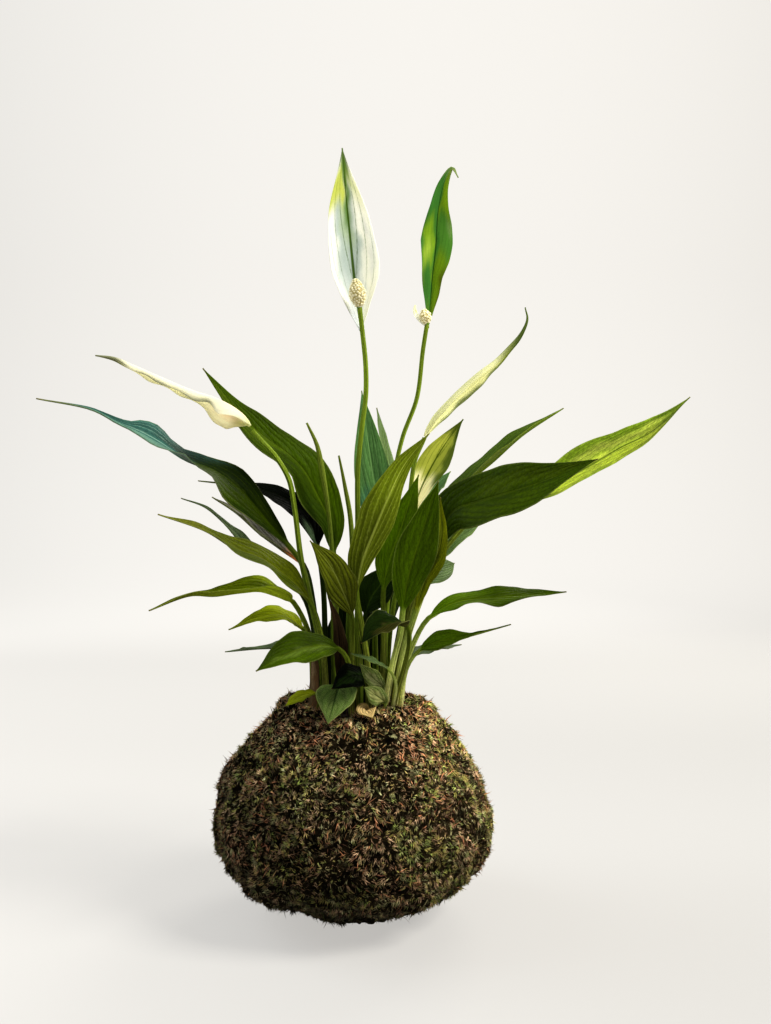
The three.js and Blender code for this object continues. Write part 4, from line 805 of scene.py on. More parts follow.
def bladeMaterial(name, look):
    material, tree = newMaterial(name)
    across, place, drift, relief = [attribute(tree, key) for key in ("across", "place", "drift", "relief")]

    def streaks(rateAcross, rateAlong, detail):
        spot = addNode(tree, "ShaderNodeCombineXYZ", {
            "X": product(tree, across, rateAcross), "Y": product(tree, place, rateAlong), "Z": drift,
        })
        return noise(tree, 1.0, detail, Vector=spot.outputs[0])

    def around(value, low, high, amount):
        return ranged(tree, value, low, high, 1 - amount, 1 + amount)

    veinLook = {key: look[key] for key in veinSockets}
    pattern = addNode(tree, "ShaderNodeGroup", veinLook, node_tree=veins).outputs
    veinTint = addNode(tree, "ShaderNodeAttribute", attribute_name="veinTint").outputs
    side = product(tree, pattern["Side"], veinTint["Alpha"])
    middle = product(tree, pattern["Middle"], ranged(tree, veinTint["Alpha"], 0.0, 0.4), look["middle"])
    fine = noise(tree, bladeLook["fineGrain"], 3.0)
    broad = noise(tree, bladeLook["broadGrain"], 3.0)
    swell = product(tree, calc(tree, "SUBTRACT", pattern["Swell"], 0.5), relief)
    # Fine grain, mottle and streaks are the leaf's own colour. The last factor is painted shade and light
    # over the bulges between veins.
    base = times(
        tree, attribute(tree, "tint", "Color"), ranged(tree, fine, 0.3, 0.7, 0.9, 1.08),
        around(broad, 0.34, 0.66, look["mottle"]),
        around(streaks(3.5, 2.5, 3.0), 0.34, 0.66, look["streak"]),
        around(swell, -0.6, 0.6, look["quiltShading"]))
    powder, dust = noise(tree, bladeLook["powderGrain"], 6.0), noise(tree, bladeLook["dustGrain"], 2.0)
    powder = calc(tree, "ADD", powder, dust)
    dusty = product(tree, ranged(tree, powder, 1.04, 1.08), attribute(tree, "dust"))
    base = colourMix(tree, dusty, base, dustTint)
    striped = times(tree, base, ranged(tree, streaks(6.0, 3.0, 2.0), 0.38, 0.62, 0.62, 1.4))
    base = colourMix(tree, ranged(tree, place, -0.12, -0.02, 1.0, 0.0), base, striped)
    colour = colourMix(tree, calc(tree, "MAXIMUM", side, middle), base, veinTint["Color"])
    height = calc(tree, "SUBTRACT", swell, product(tree, pattern["Middle"], relief))
    height = calc(tree, "ADD", height, product(tree, broad, 0.5))
    height = calc(tree, "ADD", height, product(tree, fine, 0.06))
    normal = bumpFrom(tree, height, look["bump"])
    surface = principled(tree, colour, attribute(tree, "rough"), look["gloss"], Normal=normal)
    through = addNode(tree, "ShaderNodeBsdfTranslucent", {
        "Color": times(tree, colour, look["glow"]), "Normal": normal,
    })
    both = addNode(tree, "ShaderNodeMixShader", {0: look["through"], 1: surface, 2: through.outputs[0]})
    finishMaterial(tree, both.outputs[0])
    return material


leafMaterial = bladeMaterial("leafSkin", {
    "Thinness": 0.75, "Midrib": 0.07, "Wander": 0.35, "middle": 0.8, "mottle": 0.17, "streak": 0.2,
    "quiltShading": 0.16, "bump": 0.5, "gloss": 0.03, "through": 0.3, "glow": (1.7, 1.8, 0.3),
})
glossyMaterial = bladeMaterial("leafGloss", {
    "Thinness": 0.7, "Midrib": 0.07, "Wander": 0.35, "middle": 0.8, "mottle": 0.14, "streak": 0.25,
    "quiltShading": 0.12, "bump": 0.3, "gloss": 0.02, "through": 0.15, "glow": (1.2, 1.8, 1.0),
})
petalMaterial = bladeMaterial("petalSkin", {
    "Thinness": 0.86, "Midrib": 0.07, "Wander": 0.12, "middle": 0.95, "mottle": 0.04, "streak": 0.05,
    "quiltShading": 0.02, "bump": 0.06, "gloss": 0.05, "through": 0.45, "glow": (1.12, 1.12, 1.08),
})
glossyLeaves = ["leaf_far_left", "leaf_back_teal", "leaf_back_right_teal"]
dryLeaves = ["old_sheath", "leaf_centre_brown", "foot_leaf_tan", "foot_leaf_dry"]


def paintLeaf(name, place, across, isTop):
    paintName, lightness, tone, *litShadedHalves = leafWears[name]
    paint = {**usualPaint, **leafPaint[paintName]}
    # Lightness along the leaf: its own tone mixed with painted light and shade
    light = along(lightness, np.clip(place, 0, 1))[..., None]
    # Painted light on one half of a folded leaf and painted shade on the other half
    if litShadedHalves:
        light = light * mixed(*litShadedHalves[0], blendOf(-0.15, 0.15, across))[..., None]
    tint = np.where(isTop[..., None] > 0, paint["top"], paint["under"]) * light
    # Patches of the leaf's own colour and patches of painted light and shade
    tint = touched(tint, place, across, leafPatchesAndLight.get(name, []))
    # Pale band along the leaf edge: partly a pale margin, partly a painted edge highlight
    paleRimAndHighlight = paint["paleRimAndHighlight"] * blendOf(0.95, 1, np.abs(across)) * blendOf(0.0, 0.05, place)
    tint = mixed(tint, np.array(paleRimAndHighlightTint) * np.minimum(light, 1), paleRimAndHighlight[..., None])
    tint = mixed(tint, tipTint, 0.6 * blendOf(0.97, 1.0, place)[..., None])
    down = -np.minimum(place, 0)
    stem = np.stack([np.interp(down, stemStops, shades) for shades in zip(*stemTones[tone])], -1)
    tint = mixed(tint, stem, 1 - blendOf(-0.01, 0.05, place)[..., None])
    vein = np.array(paint["vein"]) * light + 0 * tint
    vein = touched(vein, place, across, veinTouches.get(name, []))
    veinTint = np.concatenate([vein, paint["clear"] + 0 * light], -1)
    run = paint["count"] * (place - paint["sweep"] * np.abs(across) ** 1.4)
    return tint, veinTint, run, paint


def rgba(tint):
    return np.concatenate([tint, np.ones((*tint.shape[:-1], 1))], -1)


def laySkin(name, rings, place, skin, tint, veinTint, material, slotName, replaced):
    skin = {"place": place, "drift": bladeLook["driftStep"] * len(bpy.data.objects), **skin}
    attributes = {key: (values + 0 * place).ravel() for key, values in skin.items()}
    attributes.update({"tint": rgba(tint), "veinTint": veinTint})
    makePiece("fine_" + name, rings, ringFaces(rings), attributes, material, slotName, replaced)


def buildBlade(name, leaf, steps, paint, material, slotName, replaced=None):
    rings, place, across, isTop = bladeRings(name, leaf, steps)
    tint, veinTint, run, finish = paint(name, place, across, isTop)
    relief = np.where(isTop > 0, 1.0, bladeLook["underRelief"]) * finish["relief"]
    skin = {
        "across": across, "veinRun": run + bladeLook["veinStart"], "relief": relief,
        "rough": finish["rough"], "dust": finish["dust"],
    }
    replaced = [name] if replaced is None else replaced
    laySkin(name, rings, place, skin, tint, veinTint, material, slotName, replaced)


for name, leaf in {**leaves, **footLeaves}.items():
    steps = bladeLook["footSteps" if name in footLeaves else "leafSteps"]
    skin = glossyMaterial if name in glossyLeaves else leafMaterial
    buildBlade(name, leaf, steps, paintLeaf, skin, "dry_leaf" if name in dryLeaves else "leaf")
print("leaves", len(leaves) + len(footLeaves))


# Flower stalks and rolled young leaves

shootLook = {"sides": 14, "rough": 0.4, "foot": (0.16, 0.12, 0.05)}
shootTints = {
    "young": ((0.12, 0.17, 0.02), (0.16, 0.20, 0.03)),
    "stalk": ((0.15, 0.20, 0.022), (0.20, 0.27, 0.03)),
}


def buildShoot(name, shoot, low, high):
    route = Route(shoot["path"])
    share = np.linspace(0, 1, int(route.total / 3) + 1)
    tangents = route.heading(share * route.total)
    tangents[0] = (0, 0, 1)
    ups = [squareTo(np.array([0.0, -1.0, 0.0]), tangents[0])]
    for tangent in tangents[1:]:
        ups.append(squareTo(ups[-1], tangent))
    ups = np.array(ups)[:, None]
    sides = np.cross(tangents, ups[:, 0])[:, None]
    turn = fullTurn(shootLook["sides"])[None]
    radius = along(shoot["radii"], share)[:, None]
    rings = roundRings(route.at(share * route.total)[:, None], sides, ups, turn, radius)
    tint = mixed(low, high, blendOf(0.3, 0.95, share)[:, None, None]) + 0 * rings
    foot = (1 - blendOf(0.02, 0.12, share))[:, None, None]
    tint = mixed(tint, shootLook["foot"], foot * 0.6)
    skin = {"across": np.cos(turn), "veinRun": 0, "relief": 0, "rough": shootLook["rough"], "dust": 0}
    veinTint = rgba(tint) * np.array([1, 1, 1, 0])
    laySkin(name, rings, share[:, None] - 1 + 0 * turn, skin, tint, veinTint, leafMaterial, "stalk", [name])


for name, shoot in {**shoots, **stalks}.items():
    buildShoot(name, shoot, *shootTints["young" if name in shoots else "stalk"])
print("shoots and stalks", len(shoots) + len(stalks))


# Petals: the big hood of each flower, painted by place, and the small white curl beside the green flower

petals = {
    **spathes,
    "white_curl": dict(
        path=[[36.5, 5.2, 294.5], [33.5, 4.5, 296.5], [31.5, 4.5, 299], [30.8, 5, 302], [31.2, 5.5, 304]],
        width=3.2, neck=0, faces=[[0.3, -0.9, 0.3]], roll=[60, 80], wave=0.2, waves=1, peak=0.35),
}
petalFinish = {"rough": 0.45, "relief": 0.5, "dust": 0.0}
white = (0.95, 0.95, 0.88)
cream = (0.94, 0.92, 0.76)
springGreen = (0.085, 0.26, 0.046)

# For each petal: ground, vein colour, how clear the veins are at base and tip, count and sweep
petalPaint = {
    "flower_tall_spathe": (white, (0.07, 0.14, 0.012), (0.30, 0.85), 1.9, 1.6),
    "flower_green_spathe": (springGreen, (0.03, 0.10, 0.012), (0.4, 0.4), 5, 0.9),
    "flower_left_spathe": (cream, (0.55, 0.58, 0.30), (0.15, 0.3), 2.5, 1.6),
    "flower_right_spathe": (cream, (0.14, 0.19, 0.03), (0.75, 0.9), 2.2, 1.8),
    "flower_young_spathe": (cream, (0.12, 0.17, 0.010), (0.25, 0.95), 2.6, 1.3),
    "white_curl": (white, (0.6, 0.62, 0.4), (0.1, 0.1), 2, 1),
}
# Soft patches on each petal, as for the leaves: partly its own colour, partly painted light and shade
petalPatchesAndLight = {
    "flower_tall_spathe": [
        # Painted shade: grey-blue panels and strips where the hood curves away from the light, and the
        # shaded flap at the lower left
        (0.16, 0.76, -0.62, 0.34, (0.50, 0.58, 0.55), 0.85),
        (0.3, 0.62, 0.68, 0.86, (0.70, 0.73, 0.75), 0.5),
        (0.1, 0.75, -1, -0.68, (0.80, 0.80, 0.76), 0.8),
        (0.04, 0.32, -0.5, 0.5, (0.78, 0.81, 0.80), 0.6),
        (-1, 0.12, -1, -0.1, (0.60, 0.63, 0.68), 0.7),
        (0.5, 0.8, -0.35, 0.2, (0.52, 0.62, 0.36), 0.5),
        (0.7, 0.9, -1, -0.16, (0.64, 0.68, 0.16), 0.95),
        (0.72, 0.9, 0.35, 0.95, (0.93, 0.93, 0.66), 0.6),
        (0.8, 1.2, 0.0, 0.6, (0.34, 0.46, 0.07), 0.8),
        (0.6, 0.9, -0.1, 0.12, (0.13, 0.28, 0.02), 0.9),
        (0.87, 1.2, -0.55, 0.7, (0.15, 0.30, 0.025), 0.9),
        (0.94, 1.2, -1, 1, (0.16, 0.24, 0.06), 0.9),
    ],
    "flower_green_spathe": [
        # Yellow-green on one half: partly the spathe's own colour, partly painted light on its lit side
        (-1, 0.45, 0.0, 1, (0.24, 0.37, 0.016), 0.9),
        (0.66, 1.2, 0.1, 1, (0.28, 0.42, 0.016), 0.9),
        (0.45, 0.64, 0.1, 1, (0.17, 0.38, 0.06), 0.7),
        (0.36, 0.62, -0.95, -0.15, (0.32, 0.48, 0.03), 0.85),
        (0.38, 0.48, -0.85, -0.35, (0.46, 0.58, 0.10), 0.7),
        (0.28, 0.34, -1, -0.7, (0.30, 0.38, 0.10), 0.5),
        (0.58, 0.66, 0.75, 1, (0.42, 0.52, 0.24), 0.6),
        (0.12, 0.36, 0.75, 1, (0.12, 0.10, 0.01), 0.5),
        (-1, 0.12, -1, 1, (0.16, 0.26, 0.02), 0.7),
        (0.9, 1.2, -1, 1, (0.42, 0.48, 0.22), 0.8),
    ],
    "flower_left_spathe": [
        # Pinkish beige near the base: partly its own tint, partly painted shade on the lower fold
        (0.02, 0.22, -0.6, 0.6, (0.88, 0.68, 0.52), 0.45),
        (-1, 0.05, -1, 1, (0.50, 0.56, 0.12), 0.6),
        (0.84, 1.2, -1, 1, (0.22, 0.24, 0.11), 0.85),
        (0.2, 0.84, 0.86, 1, (0.30, 0.32, 0.16), 0.6),
    ],
    "flower_right_spathe": [
        (0.0, 0.7, -1, 1, (0.95, 0.95, 0.50), 0.5),
        (0.1, 0.9, 0.8, 1, (0.20, 0.26, 0.08), 0.8),
        (0.66, 0.8, -1, 1, (0.36, 0.42, 0.06), 0.8),
        (0.76, 1.2, -1, 1, (0.13, 0.20, 0.02), 0.95),
    ],
    "flower_young_spathe": [
        (-1, 0.42, -1, 1, (0.98, 0.93, 0.64), 0.85),
        (0.4, 1.2, -1, 1, (0.46, 0.50, 0.035), 0.9),
        (0.36, 1.2, 0.55, 1, (0.12, 0.18, 0.008), 0.85),
        (0.4, 0.8, -0.7, -0.1, (0.66, 0.68, 0.16), 0.6),
        (0.84, 1.2, -1, 1, (0.09, 0.14, 0.010), 0.85),
    ],
    "white_curl": [(0.6, 1.2, -1, 1, (0.75, 0.75, 0.45), 0.6)],
}


def paintPetal(name, place, across, isTop):
    ground, vein, clears, count, sweep = petalPaint[name]
    tint = touched(np.array(ground) + 0 * place[..., None], place, across, petalPatchesAndLight[name])
    clear = mixed(*clears, blendOf(0.1, 0.6, place))[..., None]
    veinTint = np.concatenate([np.array(vein) + 0 * tint, clear], -1)
    return tint, veinTint, count * (place - sweep * np.abs(across) ** 1.4), petalFinish


for name, petal in petals.items():
    steps = bladeLook["petalSteps" if name in spathes else "curlSteps"]
    slotName = "green_spathe" if name == "flower_green_spathe" else "spathe"
    buildBlade(name, petal, steps, paintPetal, petalMaterial, slotName, [name] if name in spathes else [])
print("petals", len(petals))


# One group that strews small shapes over a surface. All moss, crumbs and florets come from it.

strewSockets = [
    ("Surface", "Geometry", None), ("Shapes", "Collection", None), ("Material", "Material", None),
    ("Density", "Float", 1000.0), ("Spacing", "Float", 0.0), ("Least Size", "Float", 0.7),
    ("Most Size", "Float", 1.3), ("Least Lift", "Float", 0.2), ("Most Lift", "Float", 1.0),
    ("Sink", "Float", 0.001), ("Comb", "Float", 0.0), ("Spin", "Float", 3.14), ("Tuft", "Float", 0.0),
    ("Seed", "Int", 1),
]


def strewGroup():
    tree = bpy.data.node_groups.new("strew", "GeometryNodeTree")
    for name, kind, start in strewSockets:
        socket = tree.interface.new_socket(name, in_out="INPUT", socket_type="NodeSocket" + kind)
        if start is not None:
            socket.default_value = start
    tree.interface.new_socket("Geometry", in_out="OUTPUT", socket_type="NodeSocketGeometry")
    given = tree.nodes.new("NodeGroupInput").outputs

    def draw(kind, low, high, offset):
        first = {"FLOAT_VECTOR": 0, "FLOAT": 2}[kind]
        inputs = {first: low, first + 1: high, "Seed": calc(tree, "ADD", given["Seed"], float(offset))}
        node = addNode(tree, "FunctionNodeRandomValue", inputs, data_type=kind)
        return node.outputs[0 if kind == "FLOAT_VECTOR" else 1]

    def vectors(operation, *values):
        return vectorCalc(tree, operation, *values)

    def scaled(vector, factor):
        inputs = {0: vector, "Scale": factor}
        return addNode(tree, "ShaderNodeVectorMath", inputs, operation="SCALE").outputs[0]

    cover = addNode(tree, "GeometryNodeInputNamedAttribute", {"Name": "cover"}, data_type="FLOAT")
    points = addNode(tree, "GeometryNodeDistributePointsOnFaces", {
        "Mesh": given["Surface"], "Distance Min": given["Spacing"], "Density Max": given["Density"],
        "Density Factor": cover.outputs[0], "Seed": given["Seed"],
    }, distribute_method="POISSON").outputs
    normal = points["Normal"]
    flow = vectors("SUBTRACT", noise(tree, 90.0, 1.0, "Color"), (0.5, 0.5, 0.5))
    flow = scaled(flow, product(tree, given["Tuft"], 8.0))
    aim = vectors("ADD", flow, draw("FLOAT_VECTOR", (-1,) * 3, (1,) * 3, 1))
    sideways = vectors("NORMALIZE", vectors("CROSS_PRODUCT", normal, aim))
    lift = draw("FLOAT", given["Least Lift"], given["Most Lift"], 2)
    upright = addNode(tree, "ShaderNodeSeparateXYZ", {"Vector": normal}).outputs["Z"]
    uphill = vectors("SUBTRACT", (0, 0, 1), scaled(normal, upright))
    way = vectors("ADD", vectors("ADD", sideways, scaled(normal, lift)), scaled(uphill, given["Comb"]))
    turn = addNode(tree, "FunctionNodeAlignRotationToVector", {"Vector": way}, axis="Z").outputs[0]
    flat = addNode(tree, "FunctionNodeAlignRotationToVector", {"Rotation": turn, "Vector": normal},
                   axis="Y", pivot_axis="Z").outputs[0]
    angle = product(tree, draw("FLOAT", -1.0, 1.0, 3), given["Spin"])
    spin = addNode(tree, "FunctionNodeAxisAngleToRotation", {"Axis": (0, 0, 1), "Angle": angle}).outputs[0]
    turned = addNode(tree, "FunctionNodeRotateRotation", {"Rotation": flat, "Rotate By": spin},
                     rotation_space="LOCAL").outputs[0]
    sunk = scaled(normal, product(tree, draw("FLOAT", -1.0, 0.0, 4), given["Sink"]))
    moved = addNode(tree, "GeometryNodeSetPosition", {"Geometry": points["Points"], "Offset": sunk})
    shapes = addNode(tree, "GeometryNodeCollectionInfo", {
        "Collection": given["Shapes"], "Separate Children": True, "Reset Children": True,
    })
    placed = addNode(tree, "GeometryNodeInstanceOnPoints", {
        "Points": moved.outputs[0], "Instance": shapes.outputs[0], "Pick Instance": True,
        "Rotation": turned, "Scale": draw("FLOAT", given["Least Size"], given["Most Size"], 5),
    })
    marked = addNode(tree, "GeometryNodeStoreNamedAttribute", {
        "Geometry": placed.outputs[0], "Name": "shade", "Value": draw("FLOAT", 0.0, 1.0, 6),
    }, data_type="FLOAT", domain="INSTANCE")
    real = addNode(tree, "GeometryNodeRealizeInstances", {"Geometry": marked.outputs[0]})
    coloured = addNode(tree, "GeometryNodeSetMaterial", {
        "Geometry": real.outputs[0], "Material": given["Material"],
    })
    addNode(tree, "NodeGroupOutput", {"Geometry": coloured.outputs[0]})
    return tree


strew = strewGroup()


def shapeCollection(name, shapes):
    collection = bpy.data.collections.new(name)
    for i, (points, faces, reach) in enumerate(shapes):
        mesh = bpy.data.meshes.new(f"{name}{i}")
        mesh.from_pydata((np.asarray(points) / 1000).tolist(), [], faces)
        layer = mesh.attributes.new("reach", "FLOAT", "POINT")
        layer.data.foreach_set("value", np.asarray(reach, np.float32))
        collection.objects.link(bpy.data.objects.new(f"{name}{i}", mesh))
    return collection


def keptAboveFloor(mesh):
    spots = np.empty(len(mesh.vertices) * 3, np.float32)
    mesh.vertices.foreach_get("co", spots)
    spots[2::3] = np.maximum(spots[2::3], 0)
    mesh.vertices.foreach_set("co", spots)


def strewn(name, surface, cover, shapes, material, values):
    layer = surface.data.attributes.get("cover") or surface.data.attributes.new("cover", "FLOAT", "POINT")
    layer.data.foreach_set("value", np.asarray(cover, np.float32))
    modifier = surface.modifiers.new("strew", "NODES")
    modifier.node_group = strew
    given = {**values, "Shapes": shapes, "Material": material}
    for item in strew.interface.items_tree:
        if item.in_out == "INPUT" and item.name in given:
            modifier[item.identifier] = given[item.name]
    surface.update_tag()
    graph = bpy.context.evaluated_depsgraph_get()
    mesh = bpy.data.meshes.new_from_object(surface.evaluated_get(graph), preserve_all_data_layers=True,
                                           depsgraph=graph)
    surface.modifiers.clear()
    keptAboveFloor(mesh)
    mesh.name = name
    piece = bpy.data.objects.new(name, mesh)
    scene.collection.objects.link(piece)
    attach(piece, "root")
    print(name, len(mesh.polygons), "faces")
    return piece


# The knobbly spikes inside the flowers

spadixLook = {
    # The darker colour is painted shade on the core and at the foot of each floret, between the florets
    "colour": (0.86, 0.80, 0.54), "between": (0.50, 0.42, 0.16), "density": 3.0e6, "spacing": 0.00115,
}


def floretShape():
    rings = lathed([(0.62, -0.35), (0.78, 0.0), (0.62, 0.32), (0.3, 0.5)], 6)
    points = [*rings.reshape(-1, 3), (0, 0, 0.46)]
    faces = ringFaces(rings, (False, False)) + [(18 + j, 18 + (j + 1) % 6, 24) for j in range(6)]
    return points, faces, np.repeat([0, 0.4, 0.9, 1.0], 6).tolist() + [0.3]


def spadixMaterial():
    material, tree = newMaterial("spadixSkin")
    colour = colourMix(tree, attribute(tree, "reach"), spadixLook["between"], spadixLook["colour"])
    shade = ranged(tree, attribute(tree, "shade"), 0.0, 1.0, 0.85, 1.1)
    # Painted light: the spike further right, in the green flower, is made brighter
    shade = product(tree, shade, ranged(tree, objectSpot(tree)["X"], 0.015, 0.03, 1.0, 1.25))
    finishMaterial(tree, principled(tree, times(tree, colour, shade), 0.6))
    return material


spadixSkin = spadixMaterial()
florets = shapeCollection("floret", [floretShape()])
for name, spadix in spadices.items():
    rows = [(spadix["radius"] * 0.9 * max(math.sin(math.pi * (0.1 + 0.86 * s)), 0.02) ** 0.75,
             spadix["length"] * (0.01 + 0.96 * s)) for s in np.linspace(0, 1, 15)]
    rings = lathed(rows, 20)
    turn = Vector((0, 0, 1)).rotation_difference(Vector(spadix["points"]).normalized()).to_matrix()
    points = rings.reshape(-1, 3) @ np.array(turn).T + np.array(spadix["at"])
    bare = {"reach": np.zeros(len(points)), "shade": np.full(len(points), 0.5)}
    core = makePiece("core_" + name, points, ringFaces(rings), bare, spadixSkin, "spadix", [name])
    strewn("florets_" + name, core, np.ones(len(points)), florets, spadixSkin, {
        "Density": spadixLook["density"], "Spacing": spadixLook["spacing"], "Least Size": 0.75,
        "Most Size": 1.15, "Least Lift": 40.0, "Most Lift": 50.0, "Sink": 0.0, "Seed": 4,
    })
print("spadices", len(spadices))


# The moss ball: a dark body with sprigs of moss strewn over it in layers. The body is painted near black
# and dark brown as the shade between the sprigs.

# gap: near-black, painted shade between the sprigs; crevice: dark brown moss, darkened as painted shade;
# rootShade: painted shade at the sprig roots; shadowScale: size of painted shadow blotches
mossLook = {
    "inset": 0.6, "grain": 1.7, "sides": 170, "rowSteps": 96, "lipHeight": 4.5, "frontLift": 4.0,
    "gap": (0.005, 0.0035, 0.0015), "crevice": (0.050, 0.038, 0.020), "perLayer": 1.32, "tuft": 1.0,
    "spin": 0.6, "rootShade": (0.42, 0.38, 0.34), "brownDrift": (0.96, 0.83, 0.80),
    "greenDrift": (0.72, 0.90, 0.74), "driftScale": 27.0, "patchScale": 38.0, "fibreScale": 620.0,
    "shadowScale": 60.0,
}
# The outline of the ball from the soil side outwards: radius, height, and depth as a share of the width
ballRows = [
    [18, 0, 1], [29, 3.5, 1], [40, 8, 1], [49.5, 13.5, 1], [57.5, 19.5, 1], [63.5, 27, 1], [67.5, 37, 1],
    [68.5, 47, 1], [66.5, 58, 1], [62.5, 69, 1], [57.5, 78, 0.99], [51.5, 86, 0.96], [46, 92, 0.92],
    [42, 96, 0.87], [38.5, 98.5, 0.81], [35.5, 99.8, 0.80], [32, 100.2, 0.80], [29, 99.8, 0.82],
    [27, 98.6, 0.84],
]


def mossLump(angle, z):
    height = z / 100
    lumps = np.sin(5 * angle + 1.3) * np.sin(7 * height + 0.4)
    lumps = lumps + 0.7 * np.sin(9 * angle - 11 * height) + 0.5 * np.sin(15 * angle + 17 * height)
    cleft = 2.4 * bulge(angle, -1.62, 0.09) * np.exp(-((height - 0.12) ** 2) / 0.02)
    return np.minimum(z / 12, 1) * (1.3 * lumps - cleft)


def clumps(points, size, seed):
    draw = np.random.default_rng(seed)
    total = np.zeros(len(points))
    for way, start in zip(draw.normal(size=(7, 3)), draw.uniform(0, 6.28, 7)):
        total += np.sin(points @ way / np.linalg.norm(way) * 6.28 / size + start + 1.3 * np.sin(total))
    return blendOf(-2.2, 2.2, total)


def mossBody():
    route = Route(ballRows)
    lengths = np.linspace(0, route.total, mossLook["rowSteps"])
    rows = route.at(lengths)
    heading = route.heading(lengths)
    turn = fullTurn(mossLook["sides"])[None]
    radius, z, squeeze = rows[:, :1], rows[:, 1:2], rows[:, 2:]
    inward = mossLook["inset"] * np.minimum(z / 4, 1) * np.minimum(np.maximum(radius - 28, 0) / 8, 1)
    brim = 3.5 * np.sin(turn) ** 2 * np.clip((z - 84) / 14, 0, 1)
    inside = blendOf(44, 36, radius)
    lip = mossLook["lipHeight"] * inside * blendOf(27, 31, radius) * (1 - 1.6 * bulge(turn, -1.75, 0.42))
    lowFront = mossLook["frontLift"] * bulge(turn, -1.72, 0.7) * blendOf(30, 8, z) * blendOf(18, 32, radius)
    reach = radius + mossLump(turn, z) - inward * heading[:, 1:2]
    height = z + (1 - inside) * brim + inside * brim * 0.8 + lip + lowFront + inward * heading[:, :1]
    points = np.stack([reach * np.cos(turn), reach * squeeze * np.sin(turn), np.maximum(height, 0)], -1)
    flat = points.reshape(-1, 3)
    outward = unit(flat - np.array([0, 0, 50]))
    rough = (clumps(flat, 12, 2) + 0.8 * clumps(flat, 5.5, 3) - 0.9) * mossLook["grain"]
    grown = flat + outward * (rough * np.minimum(flat[:, 2] / 3, 1))[:, None]
    grown[:, 2] = np.maximum(grown[:, 2], 0)
    return grown.reshape(points.shape), rough


def mossUnderMaterial():
    material, tree = newMaterial("mossUnder")
    grain = noise(tree, mossLook["fibreScale"], 4.0, Distortion=1.5)
    # Painted shade: near-black and dark brown body, blotches of painted shadow, darker in the hollows;
    # lighter to the right as painted light from the key lamp
    colour = times(
        tree, colourMix(tree, ranged(tree, grain, 0.42, 0.68), mossLook["gap"], mossLook["crevice"]),
        ranged(tree, noise(tree, mossLook["shadowScale"], 3.0), 0.35, 0.65, 0.5, 1.2),
        ranged(tree, attribute(tree, "hill"), 0.0, 1.0, 0.5, 1.2),
        ranged(tree, objectSpot(tree)["X"], 0.01, 0.06, 0.9, 2.2))
    finishMaterial(tree, principled(tree, colour, 1.0, 0.0, Normal=bumpFrom(tree, grain, 1.0)))
    return material


# Each leaflet of a sprig: height of its root, the way it points, length, width and bend
sprigLeaflets = [
    [(-0.6, (0, 0, 1), 4.1, 0.55, 1.2), (0.5, (0.45, 0.2, 0.9), 2.3, 0.45, 0.5),
     (1.2, (-0.45, 0.1, 0.9), 2.0, 0.4, 0.3)],
    [(-0.6, (0, 0, 1), 3.5, 0.55, 0.8), (0.3, (0.45, 0.2, 0.9), 2.2, 0.45, 0.4)],
    [(-0.6, (0.2, 0, 1), 3.2, 0.65, -0.7), (0.2, (-0.35, -0.2, 0.9), 2.0, 0.45, 0.2)],
    [(-0.6, (0, 0, 1), 3.9, 0.5, 1.4), (0.2, (-0.45, 0.1, 0.9), 2.4, 0.4, 0.5),
     (0.9, (0.45, -0.2, 0.8), 1.9, 0.38, 0.3)],
    [(-0.6, (0, 0, 1), 2.6, 0.7, 0.4), (0.1, (0.35, 0.3, 0.9), 1.8, 0.42, 0.3)],
]
strandLeaflets = [
    [(-0.8, (0, 0, 1), 5.0, 0.5, 1.5)],
    [(-0.8, (0.1, 0, 1), 4.2, 0.55, -1.0)],
    [(-0.8, (0, 0, 1), 5.8, 0.45, 1.9)],
]


def sprigShape(leaflets):
    points, faces, reach = [], [], []
    for rootHeight, way, length, width, bend in leaflets:
        root = np.array([0, 0, rootHeight])
        way = unit(np.array(way, float))
        up = unit(np.array([0, 1.0, 0]) - way[1] * way)
        side = np.cross(up, way)
        centre = root + way * length * 0.45 - up * bend * 0.3
        tip = root + way * length + up * bend * 0.7
        first = len(points)
        ridge = centre + up * width * 0.3
        points += [root, centre - side * width / 2, ridge, centre + side * width / 2, tip]
        for j in range(3):
            a, b = first + 1 + j, first + 1 + (j + 1) % 3
            faces += [(first, b, a), (a, b, first + 4)]
        reach += [0, 0.45, 0.45, 0.45, 1.0]
    return points, faces, reach


